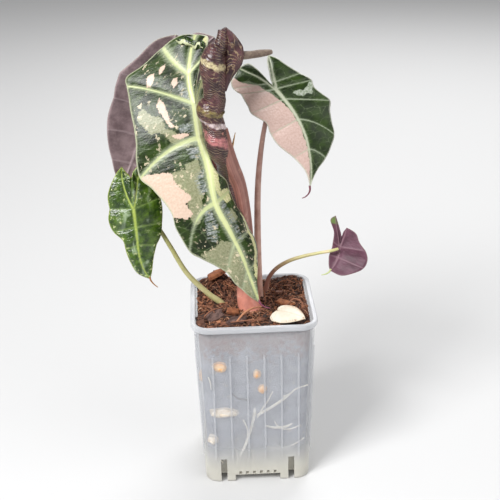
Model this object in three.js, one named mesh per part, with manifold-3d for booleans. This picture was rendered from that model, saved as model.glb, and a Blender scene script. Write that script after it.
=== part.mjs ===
// A pink variegated aroid house plant in a square, clear nursery pot.
// Millimetres, +Z up. The origin is under the middle of the pot and the plant's front faces -Y.
import * as THREE from "three";
import { mergeVertices } from "three/addons/utils/BufferGeometryUtils.js";
import Module from "manifold-3d";

const wasm = await Module();
wasm.setup();

// The pot: a tapering rounded square with a rolled lip, raised floor, feet and drainage slots.
const POT = {
  height: 102,
  lipHalf: 35,
  lipHeight: 3.3,
  topHalf: 33.5,
  baseHalf: 30,
  cornerRadius: 9,
  wall: 1.1,
  floorUnderside: 3.8,
  floorThickness: 1.2,
  archHalf: 13,
  archHeight: 4.6,
  slotOffset: 19.4,
  slotWidth: 3.5,
  slotHeight: 15.7,
  drainOffsets: [-10, -6, -2, 2, 6, 10],
  drainWidth: 1.6,
  ribOffsets: [-25, -15, -5, 5, 15, 25],
  ribWidth: 1.1,
  ribProud: 0.45,
  ribBottom: 16,
  ribTop: 84,
  centreFootHalf: 6,
  footRound: 0.8,
  footHeight: 1.2,
  lipRound: 0.6,
};

// The least room between two pieces that touch. Roots get more of it in the mix, and a lump is
// grown by more than its room, because its flat faces lie inside its round.
const GAP = 0.35;
const ROOT_GAP = 0.56;
const LUMP_GROWTH = 1.4;

// The potting mix, level with the lip in front and heaped up behind the left of the stems.
const MIX = {
  level: 99.6,
  heaps: [
    { at: [-19, 20], height: 10.5, spread: 9 },
    { at: [-27, 8], height: 4.5, spread: 6 },
    { at: [24, 23], height: 4, spread: 8 },
    { at: [-3, -2], height: 1.2, spread: 9 },
  ],
  crumb: 1.1,
};

// Blade thickness at the margin, and the extra depth of the midrib under it.
const BLADE = 0.7;
const MIDRIB_DEPTH = 0.9;

// The thread-like drip tip's radius where it leaves the blade, and how much it loses to its end.
const DRIP_TIP = { radius: 0.75, taper: 0.35 };

// Each blade is drawn flat and then bent into place. On the flat blade, y runs along the midrib
// from the stem joint to the tip, x to the right of someone who looks at the upper side with the
// tip down. A lobe row is [rib x, rib y, outer margin x, y, inner margin x, y], from the lobe's
// end to the stem joint. A margin row is [x, y, sag of the vein], one for each place on the spine.
const LEAVES = {
  front_leaf: {
    junction: [-27.7, 0, 218],
    tip: [3.1, -20, 109.9],
    upper: [0.12, -1, 0.12],
    lobeLength: 36,
    midrib: [
      [0, 0], [8, -1.7], [16, -3.1], [24, -3.5], [34, -4.2], [42, -5.4], [50, -6.3], [57, -6.1],
      [66, -4.4], [75, -2.9], [89, -1.3], [104, -0.7], [114, 0],
    ],
    arch: 10,
    swing: 22,
    lean: 0,
    fold: {
      left: [[0, 12]],
      right: [[-36, 25], [-12, 45], [0, 52], [22, 55], [25.5, 50], [28, 35], [36, 26], [44, 30], [60, 38],
        [90, 38], [114, 32]],
    },
    curl: { left: [[0, 0]], right: [[25, 0], [45, 1.6]] },
    pillow: 1.1,
    wave: 0.8,
    spine: [0, 4.5, 9, 13.3, 15.3, 17.2, 27, 36.5, 45, 52, 60, 68, 75.7, 84, 93.5, 104, 114.1],
    spineVeins: [0, 5, 9, 12, 14, 16],
    lobeVeins: [0, 3, 6],
    sinus: [1.2, -9],
    steps: 2,
    across: 4,
    left: {
      lobe: [
        [-13.6, -33.6, -13.6, -33.6, -13.6, -33.6],
        [-12, -29.5, -22, -35.1, -4, -30.5],
        [-8.6, -23, -27.2, -34.7, -0.6, -26],
        [-5.5, -15.3, -31.5, -32.6, 0.4, -21],
        [-2.7, -8.5, -37.4, -26.4, 0.9, -16],
        [-1.1, -4.2, -44.3, -23.2, 1.1, -12],
      ],
      margin: [
        [-41.9, -18.8, 2],
        [-37.8, -11.9, 2],
        [-34.8, -1, 2.3],
        [-34.5, 11, 3],
        [-36.4, 19.5, 3.4],
        [-37, 28.6, 3.7],
        [-31.5, 36, 3],
        [-24.4, 49.5, 3.6],
        [-25.2, 60, 4.6],
        [-24.9, 73.5, 5],
        [-21, 78.8, 3],
        [-15.5, 85, 2],
        [-11, 91.4, 1],
        [-8.8, 98, 0.5],
        [-6.2, 103.7, 0.3],
        [-3, 109.3, 0],
      ],
    },
    right: {
      lobe: [
        [7, -30, 7, -30, 7, -30],
        [6.6, -25, 12, -27, 4.4, -28],
        [5.4, -19.5, 15, -21, 3.4, -23],
        [4.4, -13, 17, -15, 2.8, -18],
        [3, -7.5, 19, -9.5, 2.4, -14.5],
        [1.4, -3.8, 20, -5, 1.9, -11.5],
      ],
      margin: [
        [20.5, -1, 0],
        [20.5, 4, 0],
        [19, 9.5, 0],
        [15.5, 15, 0],
        [12.5, 18.5, 0],
        [8.5, 22.5, 0],
        [2.8, 29.3, 0],
        [4.2, 36.5, 0],
        [10.4, 43, 0],
        [13.3, 49, 0],
        [14.5, 58, 0],
        [16.5, 66.5, 0],
        [17, 74, 0],
        [16.3, 82, 0],
        [11.2, 91.2, 0],
        [3.4, 101, 0],
      ],
    },
    dripTip: [[2.5, -20, 112], [4.2, -19.8, 108.6], [6.5, -18.8, 106.4], [9.4, -17.6, 104.9]],
  },
  back_leaf: {
    junction: [-45.3, 34, 219.9],
    tip: [-70.3, 30, 164],
    upper: [-0.12, 1, 0.1],
    lobeLength: 34,
    midrib: [[0, 0], [61, 0]],
    arch: 4,
    swing: 0,
    lean: 0,
    fold: { left: [[0, 8]], right: [[0, 8]] },
    curl: { left: [[0, 0]], right: [[0, 0]] },
    pillow: 0.8,
    wave: 0.8,
    spine: [0, 8, 17, 25, 33, 41, 49, 56, 61.4],
    spineVeins: [0, 2, 4, 6, 8],
    lobeVeins: [0, 3],
    sinus: [0, -8],
    steps: 2,
    across: 3,
    left: {
      lobe: [
        [-14, -36.5, -14, -36.5, -14, -36.5],
        [-9, -24, -22, -29, -3.5, -33.8],
        [-4, -11, -25, -14, -0.5, -21],
      ],
      margin: [
        [-26.5, 0, 0],
        [-26, 8, 1],
        [-24.5, 16, 1],
        [-22.5, 26, 1],
        [-20, 35, 1],
        [-16, 43.5, 0],
        [-11, 51, 0],
        [-5.5, 58, 0],
      ],
    },
    right: {
      lobe: [
        [5.5, -29.8, 5.5, -29.8, 5.5, -29.8],
        [4.5, -21, 14.5, -22.5, 0.8, -28],
        [2.5, -10, 20, -9.8, 0.3, -17],
      ],
      margin: [
        [25.8, 1, 0],
        [24.8, 9.5, 1],
        [23.5, 16, 1],
        [22.6, 26, 1],
        [20.3, 34.5, 1],
        [16, 43.2, 0],
        [11.7, 50, 0],
        [6, 58, 0],
      ],
    },
  },
  right_leaf: {
    junction: [15.4, 6, 223],
    tip: [32.6, -6, 170.7],
    upper: [0.05, -1, 0.3],
    lobeLength: 20,
    midrib: [[0, 0], [11, 4], [18, 5.7], [24, 6.5], [31, 6.6], [38, 5.8], [46, 4], [56.4, 0]],
    arch: 2,
    swing: 0,
    lean: 2,
    fold: { left: [[0, 16]], right: [[0, 16]] },
    curl: { left: [[0, 0]], right: [[0, 0]] },
    pillow: 0.7,
    wave: 0.8,
    spine: [0, 2.5, 4.5, 6.5, 11, 15.5, 19, 27, 36, 45, 51, 56.4],
    spineVeins: [0, 3, 6, 8, 11],
    lobeVeins: [0, 3, 4],
    sinus: [0, -3],
    steps: 2,
    across: 3,
    left: {
      lobe: [
        [-8.5, -16.8, -8.5, -16.8, -8.5, -16.8],
        [-6, -13, -13.5, -13.3, -2.5, -17.4],
        [-3.2, -8.8, -17, -11.3, -0.6, -13],
        [-1.2, -4, -18.8, -7.5, -0.2, -7.5],
      ],
      margin: [
        [-17.4, -3.3, 0],
        [-18.1, 0.5, 0],
        [-18.8, 4, 0],
        [-20.1, 8, 0],
        [-18, 12.3, 0],
        [-16.2, 15.5, 0],
        [-17.2, 22, 0],
        [-15.3, 29.3, 0],
        [-9.2, 37.8, 0],
        [-4, 45.5, 0],
        [-1.5, 51, 0],
      ],
    },
    right: {
      lobe: [
        [10, -18, 10, -18, 10, -18],
        [7.6, -13.5, 12.6, -14.5, 6.6, -15],
        [5, -8.8, 14.2, -10, 3.4, -9.6],
        [2.2, -3.5, 17.8, -3, 1, -5],
      ],
      margin: [
        [20.6, 2.5, 0],
        [18.6, 6.7, 0],
        [20, 11.5, 0],
        [22, 16, 0],
        [18.7, 21, 0.5],
        [17, 27, 1.5],
        [16.6, 34, 2],
        [13.4, 38.7, 1.5],
        [9.4, 44.2, 1],
        [4.2, 47.8, 0],
        [1.4, 51.5, 0],
      ],
    },
    dripTip: [
      [32.5, -5.8, 172],
      [32.6, -6, 169.5],
      [31.8, -5.8, 167.3],
      [30, -5.4, 165.4],
      [28.4, -5, 164.6],
    ],
  },
  small_left_leaf: {
    junction: [-63.4, -4, 161.6],
    tip: [-56.6, -8, 121.2],
    upper: [0.1, -1, 0.35],
    lobeLength: 24,
    midrib: [[0, 0], [12, -1.3], [18, -2], [24, -2.7], [29, -2.8], [35, -2.1], [41.1, 0]],
    arch: 1.5,
    swing: 2,
    lean: 0,
    fold: { left: [[0, 15]], right: [[0, 15]] },
    curl: { left: [[0, 0]], right: [[0, 0]] },
    pillow: 0.7,
    wave: 0.6,
    spine: [0, 5, 10, 15, 20, 27, 34, 41.1],
    spineVeins: [0, 2, 4, 7],
    lobeVeins: [0, 1, 3],
    sinus: [0, -16.7],
    steps: 2,
    across: 3,
    left: {
      lobe: [
        [-5.4, -23.2, -5.4, -23.2, -5.4, -23.2],
        [-5, -16, -9.2, -19, -1.6, -18.6],
        [-2.6, -7, -13.3, -10, -0.3, -17],
      ],
      margin: [
        [-13.2, -2, 0],
        [-14.5, 4, 0],
        [-12.8, 10.4, 0],
        [-8, 16, 0],
        [-7.1, 21.5, 0],
        [-5.7, 28.5, 0],
        [-4, 36.4, 0],
      ],
    },
    right: {
      lobe: [
        [4.5, -23, 4.5, -23, 4.5, -23],
        [3.6, -15, 11.5, -16.5, 1, -19.5],
        [1.8, -6, 15.5, -8.5, 0.2, -17.2],
      ],
      margin: [
        [16.2, -1.6, 0],
        [16.4, 4, 0],
        [15.4, 12, 0],
        [13.7, 18.5, 0],
        [11, 23, 0],
        [8.3, 28, 0],
        [4.3, 36, 0],
      ],
    },
    dripTip: [[-56.7, -8, 122.5], [-56.2, -8.1, 120.4], [-54.4, -8.1, 117.8], [-52.5, -8, 116]],
  },
  small_right_leaf: {
    junction: [51.4, 12, 127.5],
    tip: [45.6, 6, 115.4],
    upper: [0.35, 1, 0.1],
    lobeLength: 12,
    midrib: [[0, 0], [5, -0.9], [10, -0.8], [14.7, 0]],
    arch: 1,
    swing: 0,
    lean: 0,
    fold: { left: [[0, 15]], right: [[0, 14]] },
    curl: { left: [[0, 0]], right: [[0, 0]] },
    pillow: 0.5,
    wave: 0.5,
    spine: [0, 3, 6, 9, 12, 14.7],
    spineVeins: [0, 2, 5],
    lobeVeins: [0, 3],
    sinus: [0, -6],
    steps: 2,
    across: 3,
    left: {
      lobe: [
        [-2.3, -11.5, -2.3, -11.5, -2.3, -11.5],
        [-1.7, -6.8, -8, -10, -0.6, -8.8],
        [-0.8, -3, -11.2, -5.8, -0.2, -7],
      ],
      margin: [
        [-15.8, -2.5, 0],
        [-17.6, 1.5, 0],
        [-16.7, 7, 0],
        [-13, 11, 0],
        [-7, 15, 0],
      ],
    },
    right: {
      lobe: [
        [5.5, -15.6, 5.5, -15.6, 5.5, -15.6],
        [4.1, -10.4, 8.1, -12.2, 3.1, -11.9],
        [1.5, -3.9, 4.9, -6.8, 0.7, -7.7],
      ],
      margin: [
        [4.5, -1.4, 0],
        [4.4, 1.6, 0],
        [5.1, 6.1, 0],
        [3.9, 9.7, 0],
        [2.1, 12.7, 0],
      ],
    },
    dripTip: [[45.9, 6.4, 116.4], [44.6, 5.8, 114.8], [42.4, 5.2, 113.9], [40.2, 5, 113.6]],
  },
  fallen_leaf: {
    junction: [13.7, -18, 103.4],
    tip: [27.7, -30.2, 104],
    upper: [-0.04, -0.22, 0.97],
    lobeLength: 3,
    midrib: [[0, 0], [18.3, 0]],
    arch: 0.8,
    swing: 0,
    lean: 0,
    fold: { left: [[0, 6]], right: [[0, 8]] },
    curl: { left: [[0, 0]], right: [[0, 0]] },
    pillow: 0.2,
    wave: 0.3,
    spine: [0, 4.6, 9.3, 13.9, 18.6],
    spineVeins: [0, 4],
    lobeVeins: [0, 2],
    sinus: [0, -0.4],
    steps: 1,
    across: 3,
    left: {
      lobe: [
        [-2.6, -1.9, -2.6, -1.9, -2.6, -1.9],
        [-1.2, -0.8, -6.8, -0.8, -0.7, -1],
      ],
      margin: [
        [-8.9, 2.2, 0],
        [-9.3, 7, 0],
        [-7.6, 11.7, 0],
        [-3.7, 16.1, 0],
      ],
    },
    right: {
      lobe: [
        [2.8, -2.4, 2.8, -2.4, 2.8, -2.4],
        [1.2, -0.9, 5.8, -1.6, 0.9, -1.3],
      ],
      margin: [
        [7.7, 1.2, 0],
        [7.2, 6.4, 0],
        [5.3, 11, 0],
        [2.7, 15.5, 0],
      ],
    },
  },
};

// Each leaf stalk follows a list of [x, y, z, radius] from its foot in the mix to its blade.
const STALKS = {
  back_leaf_stalk: [
    [-1.5, 8.5, 86, 2.4],
    [-2.2, 10, 104, 2.4],
    [-6, 12, 116, 2.2],
    [-14, 15, 136, 2],
    [-27, 20, 166, 1.8],
    [-38, 26, 196, 1.6],
    [-43.6, 29.4, 213, 1.5],
    [-45, 30.4, 218, 1.3],
  ],
  right_leaf_stalk: [
    [5.5, 7.5, 86, 2.3],
    [4.6, 7.8, 104, 2.2],
    [4.4, 9, 140, 1.9],
    [5.4, 10.5, 170, 1.7],
    [8.2, 13.5, 192, 1.4],
    [12, 14, 210, 1.2],
    [14.8, 10.5, 219.5, 1.1],
    [15.1, 8.2, 222, 1.1],
  ],
  small_left_leaf_stalk: [
    [-12, 0, 88, 2],
    [-17, 1, 99.5, 1.9],
    [-24, 1.8, 105.5, 1.6],
    [-36, 2, 119, 1.45],
    [-45, 2, 136.5, 1.3],
    [-51, 1.5, 148, 1.15],
    [-58, 0.5, 157, 1.05],
    [-62.4, -1.6, 159.6, 1],
  ],
  small_right_leaf_stalk: [
    [9.5, 15, 87, 1.7],
    [9.2, 16, 100.5, 1.5],
    [10.6, 16, 107.5, 1.3],
    [14.6, 15.4, 113.6, 1.2],
    [22, 14, 119, 1.1],
    [31, 11.6, 122.9, 1],
    [39, 9.6, 125.3, 0.9],
    [46, 8.2, 127, 0.9],
    [50.2, 8.8, 127.8, 0.8],
  ],
};

// The front leaf's stalk: a swollen foot, then a winged sheath that ends in an open mouth round
// the young leaf, as [x, y, z, half width, half depth].
const SHEATH = [
  [-1.6, -5.4, 88.5, 4.8, 4.6],
  [-1.2, -6, 97, 6.8, 6.4],
  [-2.6, -3.6, 106, 6.3, 5.9],
  [-3.3, -1.6, 120, 5, 4.8],
  [-3.5, -1, 140, 4.6, 4.4],
  [-5.4, -1.8, 160, 5, 5],
  [-7.8, -3.8, 175, 5, 5],
  [-11.2, -8.2, 186, 5.2, 5.4],
  [-14, -11.8, 196, 5.3, 5.5],
  [-16.4, -12.8, 207, 5, 5.4],
];

// The same stalk's slim upper part, which leaves the sheath behind the blade.
const UPPER_STALK = [
  [-4, 2, 136, 2.2],
  [-8.5, 5.5, 152, 2.2],
  [-15, 7, 172, 2],
  [-22, 7.4, 190, 1.8],
  [-26.6, 6.6, 204, 1.7],
  [-28.2, 4.6, 211.5, 1.6],
  [-28.2, 3.9, 214.5, 1.5],
];

// The young leaf, still rolled: its column as [x, y, z, radius].
const COLUMN = [
  [-8.9, -2.8, 162, 4.1],
  [-10.3, -3.4, 170, 4.3],
  [-12.2, -5, 178, 4.4],
  [-12.9, -8, 184, 4.4],
  [-13.3, -10.5, 189, 4.5],
  [-14.4, -12, 192, 4.9],
  [-16, -14, 196, 5.5],
  [-17.2, -14.4, 202, 5.9],
  [-17.9, -12.8, 208, 6],
  [-19, -12.4, 213, 5.9],
  [-19.6, -12.8, 218.2, 7.6],
  [-17.5, -12.8, 222.4, 5.9],
  [-17.4, -13, 227, 5.6],
  [-17.4, -13, 234, 6],
  [-17.9, -13, 240.4, 6.8],
  [-17.2, -13, 245.4, 6.2],
  [-15.8, -12.6, 248.6, 5.2],
  [-13.6, -12.2, 251.4, 3.4],
  [-12.6, -11.8, 255, 2.8],
  [-12.2, -11.4, 259, 2.2],
];

// Its loose half, a folded flap as [x, y, z, half width, half depth] from its top to its foot.
const FLAP = [
  [-11.6, -10.8, 259.6, 1.5, 1.1],
  [-9.8, -10.5, 256.4, 2.9, 1.6],
  [-8.2, -10.4, 252.6, 4.2, 2],
  [-7.1, -10.6, 249, 5.2, 2.2],
  [-6.9, -10.6, 245.9, 5.3, 2.2],
  [-7.4, -10.8, 242.6, 5, 2.2],
  [-8.5, -11, 239.8, 4.2, 2.2],
  [-9.7, -11.4, 237, 3.3, 2.1],
  [-11.3, -12, 232.6, 2.2, 1.8],
  [-12.4, -12.4, 228, 1.4, 1.4],
];

// Its dry tip, bent over behind the flap.
const DRY_TIP = [
  [-6, -9.4, 245.2, 1.8],
  [-1.3, -8, 245, 2.2],
  [2.2, -6, 244.7, 2],
  [7, -2, 244.3, 2],
  [11.4, 1, 244, 1.6],
  [13.2, 2.2, 243.9, 1.2],
];

// The corm under the mix, as [radius, height] from its foot to its crown.
const CORM = {
  at: [-2, 1],
  profile: [[0, 64], [4, 64.6], [7.6, 69], [8.8, 75], [7.4, 81], [4.4, 85], [2.2, 87.4], [0, 87.8]],
};

// Roots that show through the front wall, as [x, y, z, radius]. The others follow a rule.
const FRONT_ROOTS = [
  [[-2, -4, 72, 1.2], [-2.4, -16, 66, 1.1], [-2, -25, 57, 1], [-1, -28.8, 47, 0.9], [-3, -29, 36, 0.8],
    [-6, -28.9, 26, 0.8], [-10, -28.6, 16, 0.7]],
  [[2, -4, 72, 1.2], [10, -14, 69, 1.1], [19, -22, 66, 1], [22, -27.4, 61, 0.9], [17, -29.2, 55, 0.9],
    [9, -29.3, 49, 0.8], [0.4, -29.2, 43.5, 0.8]],
  [[3, -5, 66, 1.1], [12, -15, 54, 1], [20, -22, 46, 0.9], [22.6, -27, 40, 0.8], [18, -28.6, 35.6, 0.8],
    [11, -28.7, 34.6, 0.8], [5, -28.6, 36, 0.7]],
];
const ROOT_COUNT = 4;
const ROOT_SEED = 12;

// Pale pumice that shows through the walls, as [x, y, z, radius, stretch].
const PUMICE = [
  [-19.8, -29.5, 76.4, 3.4, 1.3],
  [0.6, -29.5, 71, 3, 0.8],
  [3.4, -29, 61.2, 3.2, 0.8],
  [-18.4, -28.4, 46.4, 3.4, 2.6],
  [-25, -27.4, 28, 3.2, 1],
  [28.6, 8, 55, 4, 1.2],
  [-28.4, 4, 52, 4, 1.1],
  [6, 28.2, 50, 4, 1.4],
];

// Bark chips bedded in the mix, as [x, y, z, length, width, thickness, turn, tilt, roll].
const CHIPS = [
  [-21.5, -16.5, 101, 11, 8, 3, 20, -16, 12],
  [-9.5, -22.5, 100.8, 11, 9, 3, -12, -14, -8],
  [-11.4, -13.2, 101.9, 8, 4.6, 2.2, 10, 10, 14],
  [18.5, -5.5, 102, 11, 4.5, 2, -20, 8, 10],
  [-20, 17, 111.2, 12, 7, 2.6, 30, -14, -10],
];

// Numbers between 0 and 1 that are the same on every run.
function seeded(seed) {
  let state = seed;
  return () => {
    state = (state * 1664525 + 1013904223) % 4294967296;
    return state / 4294967296;
  };
}

const vector = (p) => new THREE.Vector3(p[0], p[1], p[2]);
const radians = THREE.MathUtils.degToRad;

// Turns a closed geometry into a solid that can be joined and cut.
function solidOf(geometry) {
  const bare = geometry.index ? geometry.toNonIndexed() : geometry.clone();
  bare.deleteAttribute("normal");
  bare.deleteAttribute("uv");
  const merged = mergeVertices(bare, 1e-4);
  const mesh = new wasm.Mesh({
    numProp: 3,
    vertProperties: merged.attributes.position.array,
    triVerts: new Uint32Array(merged.index.array),
  });
  return new wasm.Manifold(mesh);
}

// The joined solids' largest body, without scraps that a cut has left loose.
function largestBody(solid) {
  return solid.decompose().reduce((best, body) => (body.volume() > best.volume() ? body : best));
}

function geometryOf(solid) {
  const mesh = solid.getMesh();
  const positions = new Float32Array(mesh.numVert * 3);
  for (let i = 0; i < mesh.numVert; i++) {
    positions.set(mesh.vertProperties.subarray(i * mesh.numProp, i * mesh.numProp + 3), i * 3);
  }
  return new THREE.BufferGeometry()
    .setAttribute("position", new THREE.BufferAttribute(positions, 3))
    .setIndex(new THREE.BufferAttribute(mesh.triVerts, 1));
}

const join = (solids) => solids.reduce((all, solid) => all.add(solid));
const cut = (solid, tools) => tools.reduce((rest, tool) => rest.subtract(tool), solid);

// Closes a stack of rings of points, counter-clockwise seen from the last ring's side, into a body.
function loft(rings) {
  const positions = [];
  const centreOf = (ring) =>
    ring.reduce((sum, p) => sum.add(p), new THREE.Vector3()).divideScalar(ring.length);
  const triangle = (a, b, c) => positions.push(...a.toArray(), ...b.toArray(), ...c.toArray());
  const count = rings[0].length;
  const first = centreOf(rings[0]);
  const last = centreOf(rings[rings.length - 1]);
  for (let j = 0; j < count; j++) {
    const next = (j + 1) % count;
    triangle(first, rings[0][next], rings[0][j]);
    triangle(last, rings[rings.length - 1][j], rings[rings.length - 1][next]);
    for (let i = 0; i + 1 < rings.length; i++) {
      triangle(rings[i][j], rings[i][next], rings[i + 1][next]);
      triangle(rings[i][j], rings[i + 1][next], rings[i + 1][j]);
    }
  }
  return new THREE.BufferGeometry().setAttribute(
    "position",
    new THREE.Float32BufferAttribute(positions, 3),
  );
}

// A round or oval stem along rows of [x, y, z, half width, half depth], grown all round by `extra`.
function stem(rows, { sides = 8, steps = 16, extra = 0, flutes = 0, fluteDepth = 0 } = {}) {
  const curve = new THREE.CatmullRomCurve3(rows.map(vector), false, "centripetal");
  const rings = [];
  for (let i = 0; i <= steps; i++) {
    const t = i / steps;
    const forward = curve.getTangent(t);
    const beyond = i === 0 ? -extra : i === steps ? extra : 0;
    const centre = curve.getPoint(t).addScaledVector(forward, beyond);
    const side = new THREE.Vector3(1, 0, 0).addScaledVector(forward, -forward.x).normalize();
    const up = new THREE.Vector3().crossVectors(forward, side);
    const place = t * (rows.length - 1);
    const at = Math.min(Math.floor(place), rows.length - 2);
    const size = (column) =>
      THREE.MathUtils.lerp(rows[at][column], rows[at + 1][column], place - at) + extra;
    const width = size(3);
    const depth = rows[0].length > 4 ? size(4) : width;
    const ring = [];
    for (let j = 0; j < sides; j++) {
      const angle = (2 * Math.PI * j) / sides;
      const swell = 1 + fluteDepth * Math.cos(flutes * angle);
      ring.push(
        centre
          .clone()
          .addScaledVector(side, width * swell * Math.cos(angle))
          .addScaledVector(up, depth * swell * Math.sin(angle)),
      );
    }
    rings.push(ring);
  }
  return solidOf(loft(rings));
}

// A value read off a list of [place, value] pairs, straight between them.
function read(pairs, place) {
  if (place <= pairs[0][0]) return pairs[0][1];
  for (let i = 1; i < pairs.length; i++) {
    const [low, from] = pairs[i - 1];
    const [high, to] = pairs[i];
    if (place <= high) return from + ((to - from) * (place - low)) / (high - low);
  }
  return pairs[pairs.length - 1][1];
}

// The same, on a smooth curve through the pairs that runs on straight beyond its ends.
function curveAt(pairs, place) {
  const last = pairs.length - 1;
  const slope = (i) => (pairs[i + 1][1] - pairs[i][1]) / (pairs[i + 1][0] - pairs[i][0]);
  const tangent = (i) => {
    if (i === 0) return slope(0);
    if (i === last) return slope(last - 1);
    const before = pairs[i][0] - pairs[i - 1][0];
    const after = pairs[i + 1][0] - pairs[i][0];
    return (slope(i - 1) * after + slope(i) * before) / (before + after);
  };
  if (place <= pairs[0][0]) return pairs[0][1] + tangent(0) * (place - pairs[0][0]);
  if (place >= pairs[last][0]) return pairs[last][1] + tangent(last) * (place - pairs[last][0]);
  const i = pairs.findIndex((pair) => pair[0] > place) - 1;
  const width = pairs[i + 1][0] - pairs[i][0];
  const u = (place - pairs[i][0]) / width;
  const u2 = u * u;
  const u3 = u2 * u;
  return (
    (2 * u3 - 3 * u2 + 1) * pairs[i][1] +
    (u3 - 2 * u2 + u) * width * tangent(i) +
    (3 * u2 - 2 * u3) * pairs[i + 1][1] +
    (u3 - u2) * width * tangent(i + 1)
  );
}

// A row of numbers on the smooth curve through rows, at a place counted in rows.
function between(rows, place) {
  const at = Math.min(Math.floor(place), rows.length - 2);
  const t = place - at;
  const before = rows[Math.max(at - 1, 0)];
  const after = rows[Math.min(at + 2, rows.length - 1)];
  return rows[at].map((p, k) => {
    const q = rows[at + 1][k];
    const leave = (q - before[k]) / 2;
    const arrive = (after[k] - p) / 2;
    const t2 = t * t;
    const t3 = t2 * t;
    const ends = (2 * t3 - 3 * t2 + 1) * p + (3 * t2 - 2 * t3) * q;
    return ends + (t3 - 2 * t2 + t) * leave + (t3 - t2) * arrive;
  });
}

// The bent blade: takes a place on the flat blade to its place in the plant.
function bladeShape(leaf) {
  const junction = vector(leaf.junction);
  const along = vector(leaf.tip).sub(junction);
  const length = along.length();
  along.normalize();
  const upper = vector(leaf.upper);
  upper.addScaledVector(along, -upper.dot(along)).normalize();
  const across = new THREE.Vector3().crossVectors(upper, along);
  return (x, y, side) => {
    const t = y / length;
    const rise = t > 0 ? t * (1 - t) : t;
    const midrib = curveAt(leaf.midrib, y);
    const back = Math.max(-y / leaf.lobeLength, 0);
    const half = side < 0 ? "left" : "right";
    const fold = radians(read(leaf.fold[half], y));
    const curl = radians(read(leaf.curl[half], y));
    const reach = side * x;
    const out = curl
      ? (Math.sin(fold + curl * reach) - Math.sin(fold)) / curl
      : reach * Math.cos(fold);
    const down = curl
      ? (Math.cos(fold) - Math.cos(fold + curl * reach)) / curl
      : reach * Math.sin(fold);
    const sideways = midrib + leaf.swing * back * back + side * out;
    const height = 4 * leaf.arch * rise - leaf.lean * back * back - down;
    return junction
      .clone()
      .addScaledVector(across, sideways)
      .addScaledVector(along, y)
      .addScaledVector(upper, height);
  };
}

// How far a place between two veins is along the way from one to the other.
function betweenVeins(veins, place) {
  for (let i = 1; i < veins.length; i++) {
    if (place <= veins[i]) return (place - veins[i - 1]) / (veins[i] - veins[i - 1]);
  }
  return 0;
}

// The patches of one half: inside the lobe's rib, outside it, and beside the midrib.
function halfPatches(leaf, { lobe, margin }) {
  const spine = leaf.spine;
  const tip = spine[spine.length - 1];
  const outer = lobe.map(([rx, ry, ox, oy]) => [rx, ry, ox, oy, 0]);
  const inner = lobe.map(([rx, ry, , , ix, iy]) => [rx, ry, ix, iy, 0]);
  outer.push([0, 0, ...margin[0]]);
  inner.push([0, 0, ...leaf.sinus, 0]);
  const main = margin.map(([x, y, sag], i) => [0, spine[i], x, y, sag]);
  main.push([0, tip, 0, tip, 0]);
  return [
    { rows: inner, veins: leaf.lobeVeins, across: 2 },
    { rows: outer, veins: leaf.lobeVeins, across: leaf.across },
    { rows: main, veins: leaf.spineVeins, across: leaf.across },
  ];
}

// The blade's middle surface as shared points and triangles.
function bladeSheet(leaf) {
  const shape = bladeShape(leaf);
  const points = [];
  const flat = [];
  const puff = [];
  const ribs = [];
  const triangles = [];
  const known = new Map();
  const addPoint = (x, y, side, lift, isRib) => {
    const key = x.toFixed(4) + " " + y.toFixed(4);
    if (!known.has(key)) {
      known.set(key, points.length);
      points.push(shape(x, y, side));
      flat.push([x, y]);
      puff.push(lift);
      ribs.push(isRib ? MIDRIB_DEPTH : 0);
    }
    return known.get(key);
  };
  const addTriangle = (a, b, c) => {
    if (a === b || b === c || a === c) return;
    const [p, q, r] = [flat[a], flat[b], flat[c]];
    const area = (q[0] - p[0]) * (r[1] - p[1]) - (r[0] - p[0]) * (q[1] - p[1]);
    triangles.push(area > 0 ? [a, c, b] : [a, b, c]);
  };
  const addPatch = ({ rows, veins, across }, side) => {
    const count = (rows.length - 1) * leaf.steps;
    const grid = [];
    for (let i = 0; i <= count; i++) {
      const place = i / leaf.steps;
      const [sx, sy, mx, my, sag] = between(rows, place);
      const pleat = Math.sin(Math.PI * betweenVeins(veins, place));
      const line = [];
      for (let j = 0; j <= across; j++) {
        const s = j / across;
        const x = sx + (mx - sx) * s;
        const y = sy + (my - sy) * s - sag * 4 * s * (1 - s);
        const lift = pleat * (leaf.pillow * 4 * s * (1 - s) + leaf.wave * s * s);
        line.push(addPoint(x, y, side, lift, j === 0));
      }
      grid.push(line);
    }
    for (let i = 0; i < count; i++) {
      for (let j = 0; j < across; j++) {
        addTriangle(grid[i][j], grid[i + 1][j], grid[i + 1][j + 1]);
        addTriangle(grid[i][j], grid[i + 1][j + 1], grid[i][j + 1]);
      }
    }
  };
  halfPatches(leaf, leaf.left).forEach((patch) => addPatch(patch, -1));
  halfPatches(leaf, leaf.right).forEach((patch) => addPatch(patch, 1));
  return { points, puff, ribs, triangles };
}

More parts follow.
